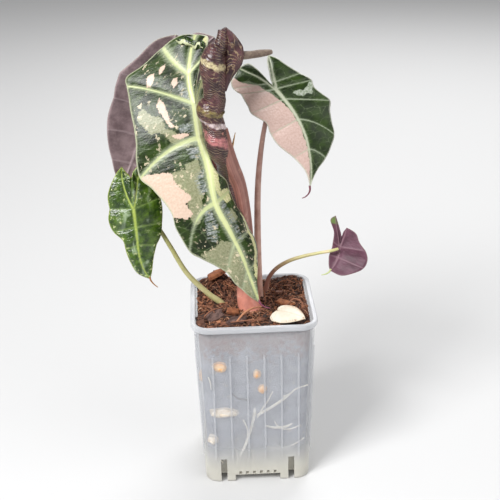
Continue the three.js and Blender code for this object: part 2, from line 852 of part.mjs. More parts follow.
// Gives a sheet its thickness, with both faces split alike, and closes it round the margin.
function thicken({ points, puff, ribs, triangles }) {
  const normals = points.map(() => new THREE.Vector3());
  const edges = new Map();
  for (const [a, b, c] of triangles) {
    const toB = points[b].clone().sub(points[a]);
    const toC = points[c].clone().sub(points[a]);
    const normal = toB.cross(toC);
    [a, b, c].forEach((i) => normals[i].add(normal));
    for (const [from, to] of [[a, b], [b, c], [c, a]]) {
      const back = to + " " + from;
      if (edges.has(back)) edges.delete(back);
      else edges.set(from + " " + to, [from, to]);
    }
  }
  normals.forEach((normal) => normal.normalize());
  const face = (height) => points.map((p, i) => p.clone().addScaledVector(normals[i], height(i)));
  const top = face((i) => puff[i] + BLADE / 2);
  const bottom = face((i) => puff[i] - BLADE / 2 - ribs[i]);
  const positions = [];
  const triangle = (a, b, c) => positions.push(...a.toArray(), ...b.toArray(), ...c.toArray());
  for (const [a, b, c] of triangles) {
    triangle(top[a], top[b], top[c]);
    triangle(bottom[a], bottom[c], bottom[b]);
  }
  for (const [from, to] of edges.values()) {
    triangle(top[from], bottom[from], bottom[to]);
    triangle(top[from], bottom[to], top[to]);
  }
  const geometry = new THREE.BufferGeometry();
  geometry.setAttribute("position", new THREE.Float32BufferAttribute(positions, 3));
  return solidOf(geometry);
}

// A blade with the thread-like drip tip that grows out of its point.
function blade(leaf) {
  const solid = thicken(bladeSheet(leaf));
  if (!leaf.dripTip) return solid;
  const { radius, taper } = DRIP_TIP;
  const last = leaf.dripTip.length - 1;
  const rows = leaf.dripTip.map((p, i) => [...p, radius - (taper * i) / last]);
  return solid.add(stem(rows, { sides: 6, steps: 6 }));
}

// A rounded square of points at one height.
function square(half, radius, z, perSide = 0) {
  const perCorner = 5;
  const ring = [];
  const corners = [[1, 1], [-1, 1], [-1, -1], [1, -1]];
  corners.forEach(([sx, sy], corner) => {
    for (let i = 0; i < perCorner; i++) {
      const angle = (Math.PI / 2) * (corner + i / (perCorner - 1));
      ring.push(
        new THREE.Vector3(
          sx * (half - radius) + radius * Math.cos(angle),
          sy * (half - radius) + radius * Math.sin(angle),
          z,
        ),
      );
    }
    const from = ring[ring.length - 1].clone();
    const step = new THREE.Vector3([-1, 0, 1, 0][corner], [0, -1, 0, 1][corner], 0);
    for (let i = 1; i <= perSide; i++) {
      const along = (2 * (half - radius) * i) / (perSide + 1);
      ring.push(from.clone().addScaledVector(step, along));
    }
  });
  return ring;
}

// The pot's outer half width at a height.
const potHalf = (z) =>
  POT.baseHalf + ((POT.topHalf - POT.baseHalf) * z) / (POT.height - POT.lipHeight);

function box(width, depth, height, x, y, z) {
  return solidOf(new THREE.BoxGeometry(width, depth, height).translate(x, y, z));
}

// The same tool at each of the pot's four faces.
function onFourFaces(make) {
  return [0, 1, 2, 3].map((turn) => make().rotate([0, 0, 90 * turn]));
}

function makePot() {
  const { height, lipHalf, lipHeight, lipRound, footRound, footHeight, wall } = POT;
  const r = POT.cornerRadius;
  const lipFoot = height - lipHeight;
  const lipCorner = r + lipHalf - POT.topHalf;
  const baseCorner = r - 1;
  const floorTop = POT.floorUnderside + POT.floorThickness;
  const body = solidOf(
    loft([
      square(potHalf(0) - footRound, baseCorner - footRound, 0),
      square(potHalf(footHeight), baseCorner, footHeight),
      square(potHalf(lipFoot), r, lipFoot),
      square(lipHalf - 0.4, lipCorner - 0.5, lipFoot + 0.2),
      square(lipHalf, lipCorner, lipFoot + 0.8),
      square(lipHalf, lipCorner, height - lipRound),
      square(lipHalf - lipRound, lipCorner - lipRound, height),
      square(potHalf(lipFoot) - wall + 0.4, r - wall, height),
      square(potHalf(lipFoot) - wall, r - wall, height - lipRound),
      square(potHalf(floorTop) - wall, baseCorner - wall, floorTop),
    ]),
  );
  const recessHalf = potHalf(0) - footRound - wall;
  const recessCorner = baseCorner - footRound - wall + 0.5;
  const recess = solidOf(
    loft([
      square(recessHalf, recessCorner, -1),
      square(recessHalf + 0.2, recessCorner, POT.floorUnderside),
    ]),
  );
  const foot = box(
    2 * POT.centreFootHalf,
    2 * POT.centreFootHalf,
    POT.floorUnderside + 0.4,
    0,
    0,
    (POT.floorUnderside + 0.4) / 2,
  );
  const ribLength = POT.ribTop - POT.ribBottom;
  const ribMiddle = (POT.ribTop + POT.ribBottom) / 2;
  const lean = Math.atan2(POT.topHalf - POT.baseHalf, lipFoot);
  const ribs = POT.ribOffsets.flatMap((offset) =>
    onFourFaces(() => {
      const bar = new THREE.BoxGeometry(POT.ribWidth, 2 * POT.ribProud, ribLength);
      bar.rotateX(lean);
      bar.translate((offset * potHalf(ribMiddle)) / POT.topHalf, -potHalf(ribMiddle), ribMiddle);
      return solidOf(bar);
    }),
  );
  const arches = onFourFaces(() =>
    box(2 * POT.archHalf, 8, 2 * POT.archHeight, 0, -POT.baseHalf, 0),
  );
  const slots = [-1, 1].flatMap((side) =>
    onFourFaces(() =>
      box(POT.slotWidth, 7, 2 * POT.slotHeight, side * POT.slotOffset, -POT.baseHalf, 0),
    ),
  );
  const drains = POT.drainOffsets.flatMap((offset) =>
    onFourFaces(() => box(POT.drainWidth, 8, 2, offset, -POT.baseHalf, floorTop + 0.8)),
  );
  const shell = join([body.subtract(recess), foot, ...ribs]);
  return cut(shell, [...arches, ...slots, ...drains]);
}

// The height of the mix's surface, heaps and crumbs together.
function mixHeight(x, y) {
  const heaps = MIX.heaps.reduce((sum, { at, height, spread }) => {
    const distance = Math.hypot(x - at[0], y - at[1]);
    return sum + height * Math.exp(-((distance / spread) ** 2));
  }, 0);
  const crumbs =
    Math.sin(1.3 * x + 0.7 * y) * Math.sin(1.1 * y - 0.5 * x) + 0.6 * Math.sin(2.3 * x - 1.9 * y + 1);
  return MIX.level + heaps + 0.6 * MIX.crumb * crumbs;
}

// The mix as one block that fills the pot, before anything is bedded in it.
function mixBlock() {
  const floor = POT.floorUnderside + POT.floorThickness + GAP;
  const inside = (z) => potHalf(z) - POT.wall - GAP;
  const radius = POT.cornerRadius - POT.wall - GAP;
  const perSide = 5;
  const wallLevels = [36, 68];
  const rimDrop = 3;
  const rings = [square(inside(floor), radius - 1, floor, perSide)];
  wallLevels.forEach((z) => rings.push(square(inside(z), radius, z, perSide)));
  const layers = 9;
  for (let i = 0; i < layers; i++) {
    const scale = 1 - i / layers;
    const rim = square(inside(MIX.level - rimDrop), radius, 0, perSide);
    rings.push(
      rim.map((p) => {
        const x = p.x * scale;
        const y = p.y * scale;
        return new THREE.Vector3(x, y, mixHeight(x, y));
      }),
    );
  }
  return solidOf(loft(rings));
}

// An uneven lump of pumice, drawn out by its stretch along the wall that it lies at.
function pumice([x, y, z, radius, stretch], extra, seed) {
  const random = seeded(seed);
  const phase = [random() * 6, random() * 6, random() * 6];
  const atFrontOrBack = Math.abs(y) > Math.abs(x);
  const along = atFrontOrBack ? [stretch, 1, 1] : [1, stretch, 1];
  const lump = new THREE.IcosahedronGeometry(1, 1);
  const position = lump.attributes.position;
  for (let i = 0; i < position.count; i++) {
    const p = new THREE.Vector3().fromBufferAttribute(position, i);
    const bulge = 0.12 * Math.sin(3 * p.x + phase[0]);
    const dents = 0.1 * Math.sin(4 * p.y + phase[1]) * Math.sin(3 * p.z + phase[2]);
    p.multiplyScalar(radius * (1 + bulge + dents) + LUMP_GROWTH * extra).multiply(vector(along));
    position.setXYZ(i, p.x, p.y, p.z);
  }
  return solidOf(lump.translate(x, y, z));
}

// A flake of bark: a split-ended plate, thinner at one side.
function chip([x, y, z, length, width, thickness, turn, tilt, roll], extra) {
  const half = length / 2 + 2 * extra;
  const deep = width / 2 + 2 * extra;
  const outline = new THREE.Shape([
    new THREE.Vector2(-half, -0.7 * deep),
    new THREE.Vector2(0.2 * half, -deep),
    new THREE.Vector2(0.9 * half, -0.8 * deep),
    new THREE.Vector2(0.75 * half, -0.1 * deep),
    new THREE.Vector2(half, 0.5 * deep),
    new THREE.Vector2(0.3 * half, deep),
    new THREE.Vector2(-0.7 * half, 0.85 * deep),
    new THREE.Vector2(-0.85 * half, 0.1 * deep),
  ]);
  const depth = thickness + 2 * extra;
  const plate = new THREE.ExtrudeGeometry(outline, { depth, bevelEnabled: false });
  plate.translate(0, 0, -depth / 2);
  plate.rotateX(radians(roll)).rotateY(radians(tilt)).rotateZ(radians(turn));
  return solidOf(plate.translate(x, y, z));
}

// One root from the corm towards the walls and down along them.
function wanderingRoot(number, random) {
  const start = { height: 72, reach: 4, radius: 1.2 };
  const change = { reach: 19, radius: -0.5 };
  const parts = 6;
  const heading = (2 * Math.PI * number) / ROOT_COUNT + random() * 0.4;
  const drop = 46 + 10 * random();
  const rows = [];
  for (let i = 0; i <= parts; i++) {
    const t = i / parts;
    const reach = start.reach + change.reach * Math.sqrt(t);
    const sway = heading + 0.5 * Math.sin(3 * t + number) * t;
    const x = CORM.at[0] + reach * Math.cos(sway);
    const y = CORM.at[1] + reach * Math.sin(sway);
    rows.push([x, y, start.height - drop * t, start.radius + change.radius * t]);
  }
  return rows;
}

function rootRows() {
  const random = seeded(ROOT_SEED);
  const rows = [...FRONT_ROOTS];
  for (let i = 0; i < ROOT_COUNT; i++) rows.push(wanderingRoot(i, random));
  return rows;
}

// The corm with its roots, grown by `extra` all round.
function cormAndRoots(extra) {
  const profile = CORM.profile.map(([r, z], i) => {
    const end = i === 0 || i === CORM.profile.length - 1;
    const lift = i === 0 ? -extra : extra;
    return new THREE.Vector2(end ? 0 : r + extra, end ? z + lift : z);
  });
  const corm = new THREE.LatheGeometry(profile, 12).rotateX(Math.PI / 2);
  corm.translate(CORM.at[0], CORM.at[1], 0);
  const roots = rootRows().map((rows) => stem(rows, { sides: 5, steps: 10, extra }));
  return join([solidOf(corm), ...roots]);
}

const ROLLED = { sides: 13, steps: 34 };
const FLAP_SHAPE = { sides: 10, steps: 10 };
const THIN = { sides: 8, steps: 8 };
const WINGED = { sides: 15, steps: 22, flutes: 5, fluteDepth: 0.09 };

// The young leaf: its rolled column, loose flap and dry tip in one.
function youngLeaf(extra) {
  const column = stem(COLUMN, { ...ROLLED, extra });
  const flap = stem(FLAP, { ...FLAP_SHAPE, extra });
  const tip = stem(DRY_TIP, { ...THIN, extra });
  return join([column, flap, tip]);
}

function frontStalk() {
  const sheath = stem(SHEATH, WINGED);
  const upper = stem(UPPER_STALK, { steps: 14 });
  const mouth = stem(COLUMN, { ...ROLLED, extra: GAP });
  return largestBody(sheath.subtract(mouth).add(upper));
}

// The finish of each kind of piece.
const finish = (color, roughness) => ({ color, roughness, metalness: 0 });
const FINISH = {
  pot: { ...finish(0xc9cbd4, 0.35), transparent: true, opacity: 0.5 },
  mix: finish(0x3a2118, 0.95),
  bark: finish(0x59382a, 0.85),
  pumice: finish(0xe2cfae, 0.9),
  root: finish(0xe6ddcc, 0.7),
  frontBlade: finish(0x2c4a22, 0.35),
  backBlade: finish(0x6b5560, 0.5),
  rightBlade: finish(0x8f8a72, 0.4),
  smallLeft: finish(0x4c7326, 0.3),
  smallRight: finish(0x4a2a36, 0.5),
  rolled: finish(0x43202a, 0.35),
  pinkStalk: finish(0xa86a5c, 0.5),
  paleStalk: finish(0xa9a86a, 0.5),
  fallen: finish(0xefe6d2, 0.55),
};

const plant = new THREE.Group();

function addPiece(name, solid, look) {
  const piece = new THREE.Mesh(geometryOf(solid), new THREE.MeshStandardMaterial(FINISH[look]));
  piece.name = name;
  plant.add(piece);
}

addPiece("pot", makePot(), "pot");

const block = mixBlock();
const bedded = [cormAndRoots(ROOT_GAP), stem(SHEATH, { ...WINGED, extra: GAP })];
Object.values(STALKS).forEach((rows) => bedded.push(stem(rows, { extra: GAP })));
PUMICE.forEach((row, i) => bedded.push(pumice(row, GAP, i)));
CHIPS.forEach((row) => bedded.push(chip(row, GAP)));
addPiece("potting_mix", largestBody(cut(block, bedded)), "mix");

const stalkSolids = Object.fromEntries(
  Object.entries(STALKS).map(([name, rows]) => [name, stem(rows)]),
);
addPiece("corm_and_roots", largestBody(cormAndRoots(0).intersect(block)), "root");
const rootClear = cormAndRoots(GAP);
PUMICE.forEach((row, i) => {
  const lump = pumice(row, 0, i).intersect(block).subtract(rootClear);
  addPiece("pumice_" + (i + 1), largestBody(lump), "pumice");
});
CHIPS.forEach((row, i) => addPiece("bark_chip_" + (i + 1), chip(row, 0), "bark"));

addPiece("front_leaf_stalk", frontStalk(), "pinkStalk");
addPiece("young_leaf", youngLeaf(0), "rolled");
Object.entries(stalkSolids).forEach(([name, solid]) =>
  addPiece(name, solid, name.startsWith("small_left") ? "paleStalk" : "pinkStalk"),
);

const BLADE_LOOKS = {
  front_leaf: "frontBlade",
  back_leaf: "backBlade",
  right_leaf: "rightBlade",
  small_left_leaf: "smallLeft",
  small_right_leaf: "smallRight",
  fallen_leaf: "fallen",
};
Object.entries(LEAVES).forEach(([name, leaf]) => addPiece(name, blade(leaf), BLADE_LOOKS[name]));

export default plant;
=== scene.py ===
import math
import random

import bpy
import numpy as np
from mathutils import Matrix, Vector, noise


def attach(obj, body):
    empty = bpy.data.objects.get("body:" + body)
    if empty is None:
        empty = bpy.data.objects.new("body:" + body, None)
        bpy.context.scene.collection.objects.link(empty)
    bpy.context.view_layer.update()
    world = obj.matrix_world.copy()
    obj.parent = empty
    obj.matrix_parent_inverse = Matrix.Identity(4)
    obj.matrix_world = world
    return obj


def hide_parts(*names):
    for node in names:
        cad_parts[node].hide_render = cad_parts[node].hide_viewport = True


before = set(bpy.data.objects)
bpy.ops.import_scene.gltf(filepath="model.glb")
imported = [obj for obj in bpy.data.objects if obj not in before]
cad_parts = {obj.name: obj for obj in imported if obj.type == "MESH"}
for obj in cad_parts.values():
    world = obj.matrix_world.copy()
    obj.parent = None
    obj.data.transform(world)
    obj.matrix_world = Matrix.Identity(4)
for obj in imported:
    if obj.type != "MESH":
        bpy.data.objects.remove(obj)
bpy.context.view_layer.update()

MM = 0.001

# The camera, at the photograph's viewing angle: place in metres, tilt, turn and roll in degrees,
# and lens in mm.
CAMERA_PLACE = (-0.02212, -0.5642, 0.37613)
CAMERA_TILT = 23.3
CAMERA_TURN = 2.2
CAMERA_ROLL = -1.34
CAMERA_LENS = 79.2

# Sizes and places from here on are in mm, in the same frame as the camera.

# The room between the pot's wall and the mix, and a blade's thickness.
GAP = 0.35
BLADE = 0.7

# The pot: a tapering rounded square with a rolled lip, raised floor, feet and drainage slots.
POT = {
    "height": 102, "lipHalf": 35, "lipHeight": 3.3, "topHalf": 33.5, "baseHalf": 30, "cornerRadius": 9,
    "wall": 1.1, "floorUnderside": 3.8, "floorThickness": 1.2, "archHalf": 13, "archHeight": 4.6,
    "slotOffset": 19.4, "slotWidth": 3.5, "slotHeight": 15.7, "drainOffsets": [-10, -6, -2, 2, 6, 10],
    "drainWidth": 1.6, "ribOffsets": [-25, -15, -5, 5, 15, 25], "ribWidth": 1.1, "ribProud": 0.45,
    "ribBottom": 16, "ribTop": 84, "centreFootHalf": 6,
}

# The turns of the pot's four sides.
QUARTERS = [math.pi / 2 * k for k in range(4)]

# The potting mix, level with the lip in front and heaped up behind the left of the stems.
MIX = {
    "level": 99.6,
    "heaps": [
        {"at": [-19, 20], "height": 10.5, "spread": 9}, {"at": [-27, 8], "height": 4.5, "spread": 6},
        {"at": [24, 23], "height": 4, "spread": 8}, {"at": [-3, -2], "height": 1.2, "spread": 9},
    ],
    "crumb": 1.1,
}

# Each blade is drawn flat and then bent into place. On the flat blade, y runs along the midrib
# from the stem joint to the tip, x to the right of someone who looks at the upper side with the
# tip down. A lobe row is [rib x, rib y, outer margin x, y, inner margin x, y], from the lobe's
# end to the stem joint. A margin row is [x, y, sag of the vein], one for each place on the spine.
LEAVES = {
    "front_leaf": {
        "junction": [-27.7, 0, 218], "tip": [3.1, -20, 109.9], "upper": [0.12, -1, 0.12],
        "lobeLength": 36,
        "midrib": [
            [0, 0], [8, -1.7], [16, -3.1], [24, -3.5], [34, -4.2], [42, -5.4], [50, -6.3], [57, -6.1],
            [66, -4.4], [75, -2.9], [89, -1.3], [104, -0.7], [114, 0],
        ],
        "arch": 10, "swing": 22, "lean": 0,
        "fold": {
            "left": [[0, 12]],
            "right": [
                [-36, 25], [-12, 45], [0, 52], [22, 55], [25.5, 50], [28, 35], [36, 26], [44, 30],
                [60, 38], [90, 38], [114, 32],
            ],
        },
        "curl": {"left": [[0, 0]], "right": [[25, 0], [45, 1.6]]}, "pillow": 1.1, "wave": 0.8,
        "spine": [0, 4.5, 9, 13.3, 15.3, 17.2, 27, 36.5, 45, 52, 60, 68, 75.7, 84, 93.5, 104, 114.1],
        "spineVeins": [0, 5, 9, 12, 14, 16], "lobeVeins": [0, 3, 6], "sinus": [1.2, -9],
        "left": {
            "lobe": [
                [-13.6, -33.6, -13.6, -33.6, -13.6, -33.6], [-12, -29.5, -22, -35.1, -4, -30.5],
                [-8.6, -23, -27.2, -34.7, -0.6, -26], [-5.5, -15.3, -31.5, -32.6, 0.4, -21],
                [-2.7, -8.5, -37.4, -26.4, 0.9, -16], [-1.1, -4.2, -44.3, -23.2, 1.1, -12],
            ],
            "margin": [
                [-41.9, -18.8, 2], [-37.8, -11.9, 2], [-34.8, -1, 2.3], [-34.5, 11, 3],
                [-36.4, 19.5, 3.4], [-37, 28.6, 3.7], [-31.5, 36, 3], [-24.4, 49.5, 3.6],
                [-25.2, 60, 4.6], [-24.9, 73.5, 5], [-21, 78.8, 3], [-15.5, 85, 2], [-11, 91.4, 1],
                [-8.8, 98, 0.5], [-6.2, 103.7, 0.3], [-3, 109.3, 0],
            ],
        },
        "right": {
            "lobe": [
                [7, -30, 7, -30, 7, -30], [6.6, -25, 12, -27, 4.4, -28], [5.4, -19.5, 15, -21, 3.4, -23],
                [4.4, -13, 17, -15, 2.8, -18], [3, -7.5, 19, -9.5, 2.4, -14.5],
                [1.4, -3.8, 20, -5, 1.9, -11.5],
            ],
            "margin": [
                [20.5, -1, 0], [20.5, 4, 0], [19, 9.5, 0], [15.5, 15, 0], [12.5, 18.5, 0], [8.5, 22.5, 0],
                [2.8, 29.3, 0], [4.2, 36.5, 0], [10.4, 43, 0], [13.3, 49, 0], [14.5, 58, 0],
                [16.5, 66.5, 0], [17, 74, 0], [16.3, 82, 0], [11.2, 91.2, 0], [3.4, 101, 0],
            ],
        },
        "dripTip": [[2.5, -20, 112], [4.2, -19.8, 108.6], [6.5, -18.8, 106.4], [9.4, -17.6, 104.9]],
    },
    "back_leaf": {
        "junction": [-45.3, 34, 219.9], "tip": [-70.3, 30, 164], "upper": [-0.12, 1, 0.1],
        "lobeLength": 34, "midrib": [[0, 0], [61, 0]], "arch": 4, "swing": 0, "lean": 0,
        "fold": {"left": [[0, 8]], "right": [[0, 8]]}, "curl": {"left": [[0, 0]], "right": [[0, 0]]},
        "pillow": 0.8, "wave": 0.8, "spine": [0, 8, 17, 25, 33, 41, 49, 56, 61.4],
        "spineVeins": [0, 2, 4, 6, 8], "lobeVeins": [0, 3], "sinus": [0, -8],
        "left": {
            "lobe": [
                [-14, -36.5, -14, -36.5, -14, -36.5], [-9, -24, -22, -29, -3.5, -33.8],
                [-4, -11, -25, -14, -0.5, -21],
            ],
            "margin": [
                [-26.5, 0, 0], [-26, 8, 1], [-24.5, 16, 1], [-22.5, 26, 1], [-20, 35, 1], [-16, 43.5, 0],
                [-11, 51, 0], [-5.5, 58, 0],
            ],
        },
        "right": {
            "lobe": [
                [5.5, -29.8, 5.5, -29.8, 5.5, -29.8], [4.5, -21, 14.5, -22.5, 0.8, -28],
                [2.5, -10, 20, -9.8, 0.3, -17],
            ],
            "margin": [
                [25.8, 1, 0], [24.8, 9.5, 1], [23.5, 16, 1], [22.6, 26, 1], [20.3, 34.5, 1],
                [16, 43.2, 0], [11.7, 50, 0], [6, 58, 0],
            ],
        },
    },
    "right_leaf": {
        "junction": [15.4, 6, 223], "tip": [32.6, -6, 170.7], "upper": [0.05, -1, 0.3], "lobeLength": 20,
        "midrib": [[0, 0], [11, 4], [18, 5.7], [24, 6.5], [31, 6.6], [38, 5.8], [46, 4], [56.4, 0]],
        "arch": 2, "swing": 0, "lean": 2, "fold": {"left": [[0, 16]], "right": [[0, 16]]},
        "curl": {"left": [[0, 0]], "right": [[0, 0]]}, "pillow": 0.7, "wave": 0.8,
        "spine": [0, 2.5, 4.5, 6.5, 11, 15.5, 19, 27, 36, 45, 51, 56.4],
        "spineVeins": [0, 3, 6, 8, 11], "lobeVeins": [0, 3, 4], "sinus": [0, -3],
        "left": {
            "lobe": [
                [-8.5, -16.8, -8.5, -16.8, -8.5, -16.8], [-6, -13, -13.5, -13.3, -2.5, -17.4],
                [-3.2, -8.8, -17, -11.3, -0.6, -13], [-1.2, -4, -18.8, -7.5, -0.2, -7.5],
            ],
            "margin": [
                [-17.4, -3.3, 0], [-18.1, 0.5, 0], [-18.8, 4, 0], [-20.1, 8, 0], [-18, 12.3, 0],
                [-16.2, 15.5, 0], [-17.2, 22, 0], [-15.3, 29.3, 0], [-9.2, 37.8, 0], [-4, 45.5, 0],
                [-1.5, 51, 0],
            ],
        },
        "right": {
            "lobe": [
                [10, -18, 10, -18, 10, -18], [7.6, -13.5, 12.6, -14.5, 6.6, -15],
                [5, -8.8, 14.2, -10, 3.4, -9.6], [2.2, -3.5, 17.8, -3, 1, -5],
            ],
            "margin": [
                [20.6, 2.5, 0], [18.6, 6.7, 0], [20, 11.5, 0], [22, 16, 0], [18.7, 21, 0.5],
                [17, 27, 1.5], [16.6, 34, 2], [13.4, 38.7, 1.5], [9.4, 44.2, 1], [4.2, 47.8, 0],
                [1.4, 51.5, 0],
            ],
        },
        "dripTip": [[32.5, -5.8, 172], [32.6, -6, 169.5], [31.8, -5.8, 167.3], [30, -5.4, 165.4],
                    [28.4, -5, 164.6]],
    },
    "small_left_leaf": {
        "junction": [-63.4, -4, 161.6], "tip": [-56.6, -8, 121.2], "upper": [0.1, -1, 0.35],
        "lobeLength": 24,
        "midrib": [[0, 0], [12, -1.3], [18, -2], [24, -2.7], [29, -2.8], [35, -2.1], [41.1, 0]],
        "arch": 1.5, "swing": 2, "lean": 0, "fold": {"left": [[0, 15]], "right": [[0, 15]]},
        "curl": {"left": [[0, 0]], "right": [[0, 0]]}, "pillow": 0.7, "wave": 0.6,
        "spine": [0, 5, 10, 15, 20, 27, 34, 41.1], "spineVeins": [0, 2, 4, 7], "lobeVeins": [0, 1, 3],
        "sinus": [0, -16.7],
        "left": {
            "lobe": [
                [-5.4, -23.2, -5.4, -23.2, -5.4, -23.2], [-5, -16, -9.2, -19, -1.6, -18.6],
                [-2.6, -7, -13.3, -10, -0.3, -17],
            ],
            "margin": [
                [-13.2, -2, 0], [-14.5, 4, 0], [-12.8, 10.4, 0], [-8, 16, 0], [-7.1, 21.5, 0],
                [-5.7, 28.5, 0], [-4, 36.4, 0],
            ],
        },
        "right": {
            "lobe": [
                [4.5, -23, 4.5, -23, 4.5, -23], [3.6, -15, 11.5, -16.5, 1, -19.5],
                [1.8, -6, 15.5, -8.5, 0.2, -17.2],
            ],
            "margin": [
                [16.2, -1.6, 0], [16.4, 4, 0], [15.4, 12, 0], [13.7, 18.5, 0], [11, 23, 0], [8.3, 28, 0],
                [4.3, 36, 0],
            ],
        },
        "dripTip": [[-56.7, -8, 122.5], [-56.2, -8.1, 120.4], [-54.4, -8.1, 117.8], [-52.5, -8, 116]],
    },
    "small_right_leaf": {
        "junction": [51.4, 12, 127.5], "tip": [45.6, 6, 115.4], "upper": [0.35, 1, 0.1],
        "lobeLength": 12, "midrib": [[0, 0], [5, -0.9], [10, -0.8], [14.7, 0]], "arch": 1, "swing": 0,
        "lean": 0, "fold": {"left": [[0, 15]], "right": [[0, 14]]},
        "curl": {"left": [[0, 0]], "right": [[0, 0]]}, "pillow": 0.5, "wave": 0.5,
        "spine": [0, 3, 6, 9, 12, 14.7], "spineVeins": [0, 2, 5], "lobeVeins": [0, 3], "sinus": [0, -6],
        "left": {
            "lobe": [
                [-2.3, -11.5, -2.3, -11.5, -2.3, -11.5], [-1.7, -6.8, -8, -10, -0.6, -8.8],
                [-0.8, -3, -11.2, -5.8, -0.2, -7],
            ],
            "margin": [[-15.8, -2.5, 0], [-17.6, 1.5, 0], [-16.7, 7, 0], [-13, 11, 0], [-7, 15, 0]],
        },
        "right": {
            "lobe": [
                [5.5, -15.6, 5.5, -15.6, 5.5, -15.6], [4.1, -10.4, 8.1, -12.2, 3.1, -11.9],
                [1.5, -3.9, 4.9, -6.8, 0.7, -7.7],
            ],
            "margin": [[4.5, -1.4, 0], [4.4, 1.6, 0], [5.1, 6.1, 0], [3.9, 9.7, 0], [2.1, 12.7, 0]],
        },
        "dripTip": [[45.9, 6.4, 116.4], [44.6, 5.8, 114.8], [42.4, 5.2, 113.9], [40.2, 5, 113.6]],
    },
    "fallen_leaf": {
        "junction": [13.7, -18, 103.4], "tip": [27.7, -30.2, 104], "upper": [-0.04, -0.22, 0.97],
        "lobeLength": 3, "midrib": [[0, 0], [18.3, 0]], "arch": 0.8, "swing": 0, "lean": 0,
        "fold": {"left": [[0, 6]], "right": [[0, 8]]}, "curl": {"left": [[0, 0]], "right": [[0, 0]]},
        "pillow": 0.2, "wave": 0.3, "spine": [0, 4.6, 9.3, 13.9, 18.6], "spineVeins": [0, 4],
        "lobeVeins": [0, 2], "sinus": [0, -0.4],
        "left": {
            "lobe": [[-2.6, -1.9, -2.6, -1.9, -2.6, -1.9], [-1.2, -0.8, -6.8, -0.8, -0.7, -1]],
            "margin": [[-8.9, 2.2, 0], [-9.3, 7, 0], [-7.6, 11.7, 0], [-3.7, 16.1, 0]],
        },
        "right": {
            "lobe": [[2.8, -2.4, 2.8, -2.4, 2.8, -2.4], [1.2, -0.9, 5.8, -1.6, 0.9, -1.3]],
            "margin": [[7.7, 1.2, 0], [7.2, 6.4, 0], [5.3, 11, 0], [2.7, 15.5, 0]],
        },
    },
}

# Each leaf stalk as [x, y, z, radius] from its foot in the mix to its blade.
STALKS = {
    "back_leaf_stalk": [
        [-1.5, 8.5, 86, 2.4], [-2.2, 10, 104, 2.4], [-6, 12, 116, 2.2], [-14, 15, 136, 2],
        [-27, 20, 166, 1.8], [-38, 26, 196, 1.6], [-43.6, 29.4, 213, 1.5], [-45, 30.4, 218, 1.3],
    ],
    "right_leaf_stalk": [
        [5.5, 7.5, 86, 2.3], [4.6, 7.8, 104, 2.2], [4.4, 9, 140, 1.9], [5.4, 10.5, 170, 1.7],
        [8.2, 13.5, 192, 1.4], [12, 14, 210, 1.2], [14.8, 10.5, 219.5, 1.1], [15.1, 8.2, 222, 1.1],
    ],
    "small_left_leaf_stalk": [
        [-12, 0, 88, 2], [-17, 1, 99.5, 1.9], [-24, 1.8, 105.5, 1.6], [-36, 2, 119, 1.45],
        [-45, 2, 136.5, 1.3], [-51, 1.5, 148, 1.15], [-58, 0.5, 157, 1.05], [-62.4, -1.6, 159.6, 1],
    ],
    "small_right_leaf_stalk": [
        [9.5, 15, 87, 1.7], [9.2, 16, 100.5, 1.5], [10.6, 16, 107.5, 1.3], [14.6, 15.4, 113.6, 1.2],
        [22, 14, 119, 1.1], [31, 11.6, 122.9, 1], [39, 9.6, 125.3, 0.9], [46, 8.2, 127, 0.9],
        [50.2, 8.8, 127.8, 0.8],
    ],
}

# The front leaf's sheathing stalk, as [x, y, z, half width, half depth], and its slim upper part.
SHEATH = [
    [-1.6, -5.4, 88.5, 4.8, 4.6], [-1.2, -6, 97, 6.8, 6.4], [-2.6, -3.6, 106, 6.3, 5.9],
    [-3.3, -1.6, 120, 5, 4.8], [-3.5, -1, 140, 4.6, 4.4], [-5.4, -1.8, 160, 5, 5],
    [-7.8, -3.8, 175, 5, 5], [-11.2, -8.2, 186, 5.2, 5.4], [-14, -11.8, 196, 5.3, 5.5],
    [-16.4, -12.8, 207, 5, 5.4],
]

UPPER_STALK = [
    [-4, 2, 136, 2.2], [-8.5, 5.5, 152, 2.2], [-15, 7, 172, 2], [-22, 7.4, 190, 1.8],
    [-26.6, 6.6, 204, 1.7], [-28.2, 4.6, 211.5, 1.6], [-28.2, 3.9, 214.5, 1.5],
]

# The young leaf: its rolled column, its loose flap and its dry tip.
COLUMN = [
    [-8.9, -2.8, 162, 4.1], [-10.3, -3.4, 170, 4.3], [-12.2, -5, 178, 4.4], [-12.9, -8, 184, 4.4],
    [-13.3, -10.5, 189, 4.5], [-14.4, -12, 192, 4.9], [-16, -14, 196, 5.5], [-17.2, -14.4, 202, 5.9],
    [-17.9, -12.8, 208, 6], [-19, -12.4, 213, 5.9], [-19.6, -12.8, 218.2, 7.6],
    [-17.5, -12.8, 222.4, 5.9], [-17.4, -13, 227, 5.6], [-17.4, -13, 234, 6], [-17.9, -13, 240.4, 6.8],
    [-17.2, -13, 245.4, 6.2], [-15.8, -12.6, 248.6, 5.2], [-13.6, -12.2, 251.4, 3.4],
    [-12.6, -11.8, 255, 2.8], [-12.2, -11.4, 259, 2.2],
]

FLAP = [
    [-11.6, -10.8, 259.6, 1.5, 1.1], [-9.8, -10.5, 256.4, 2.9, 1.6], [-8.2, -10.4, 252.6, 4.2, 2],
    [-7.1, -10.6, 249, 5.2, 2.2], [-6.9, -10.6, 245.9, 5.3, 2.2], [-7.4, -10.8, 242.6, 5, 2.2],
    [-8.5, -11, 239.8, 4.2, 2.2], [-9.7, -11.4, 237, 3.3, 2.1], [-11.3, -12, 232.6, 2.2, 1.8],
    [-12.4, -12.4, 228, 1.4, 1.4],
]

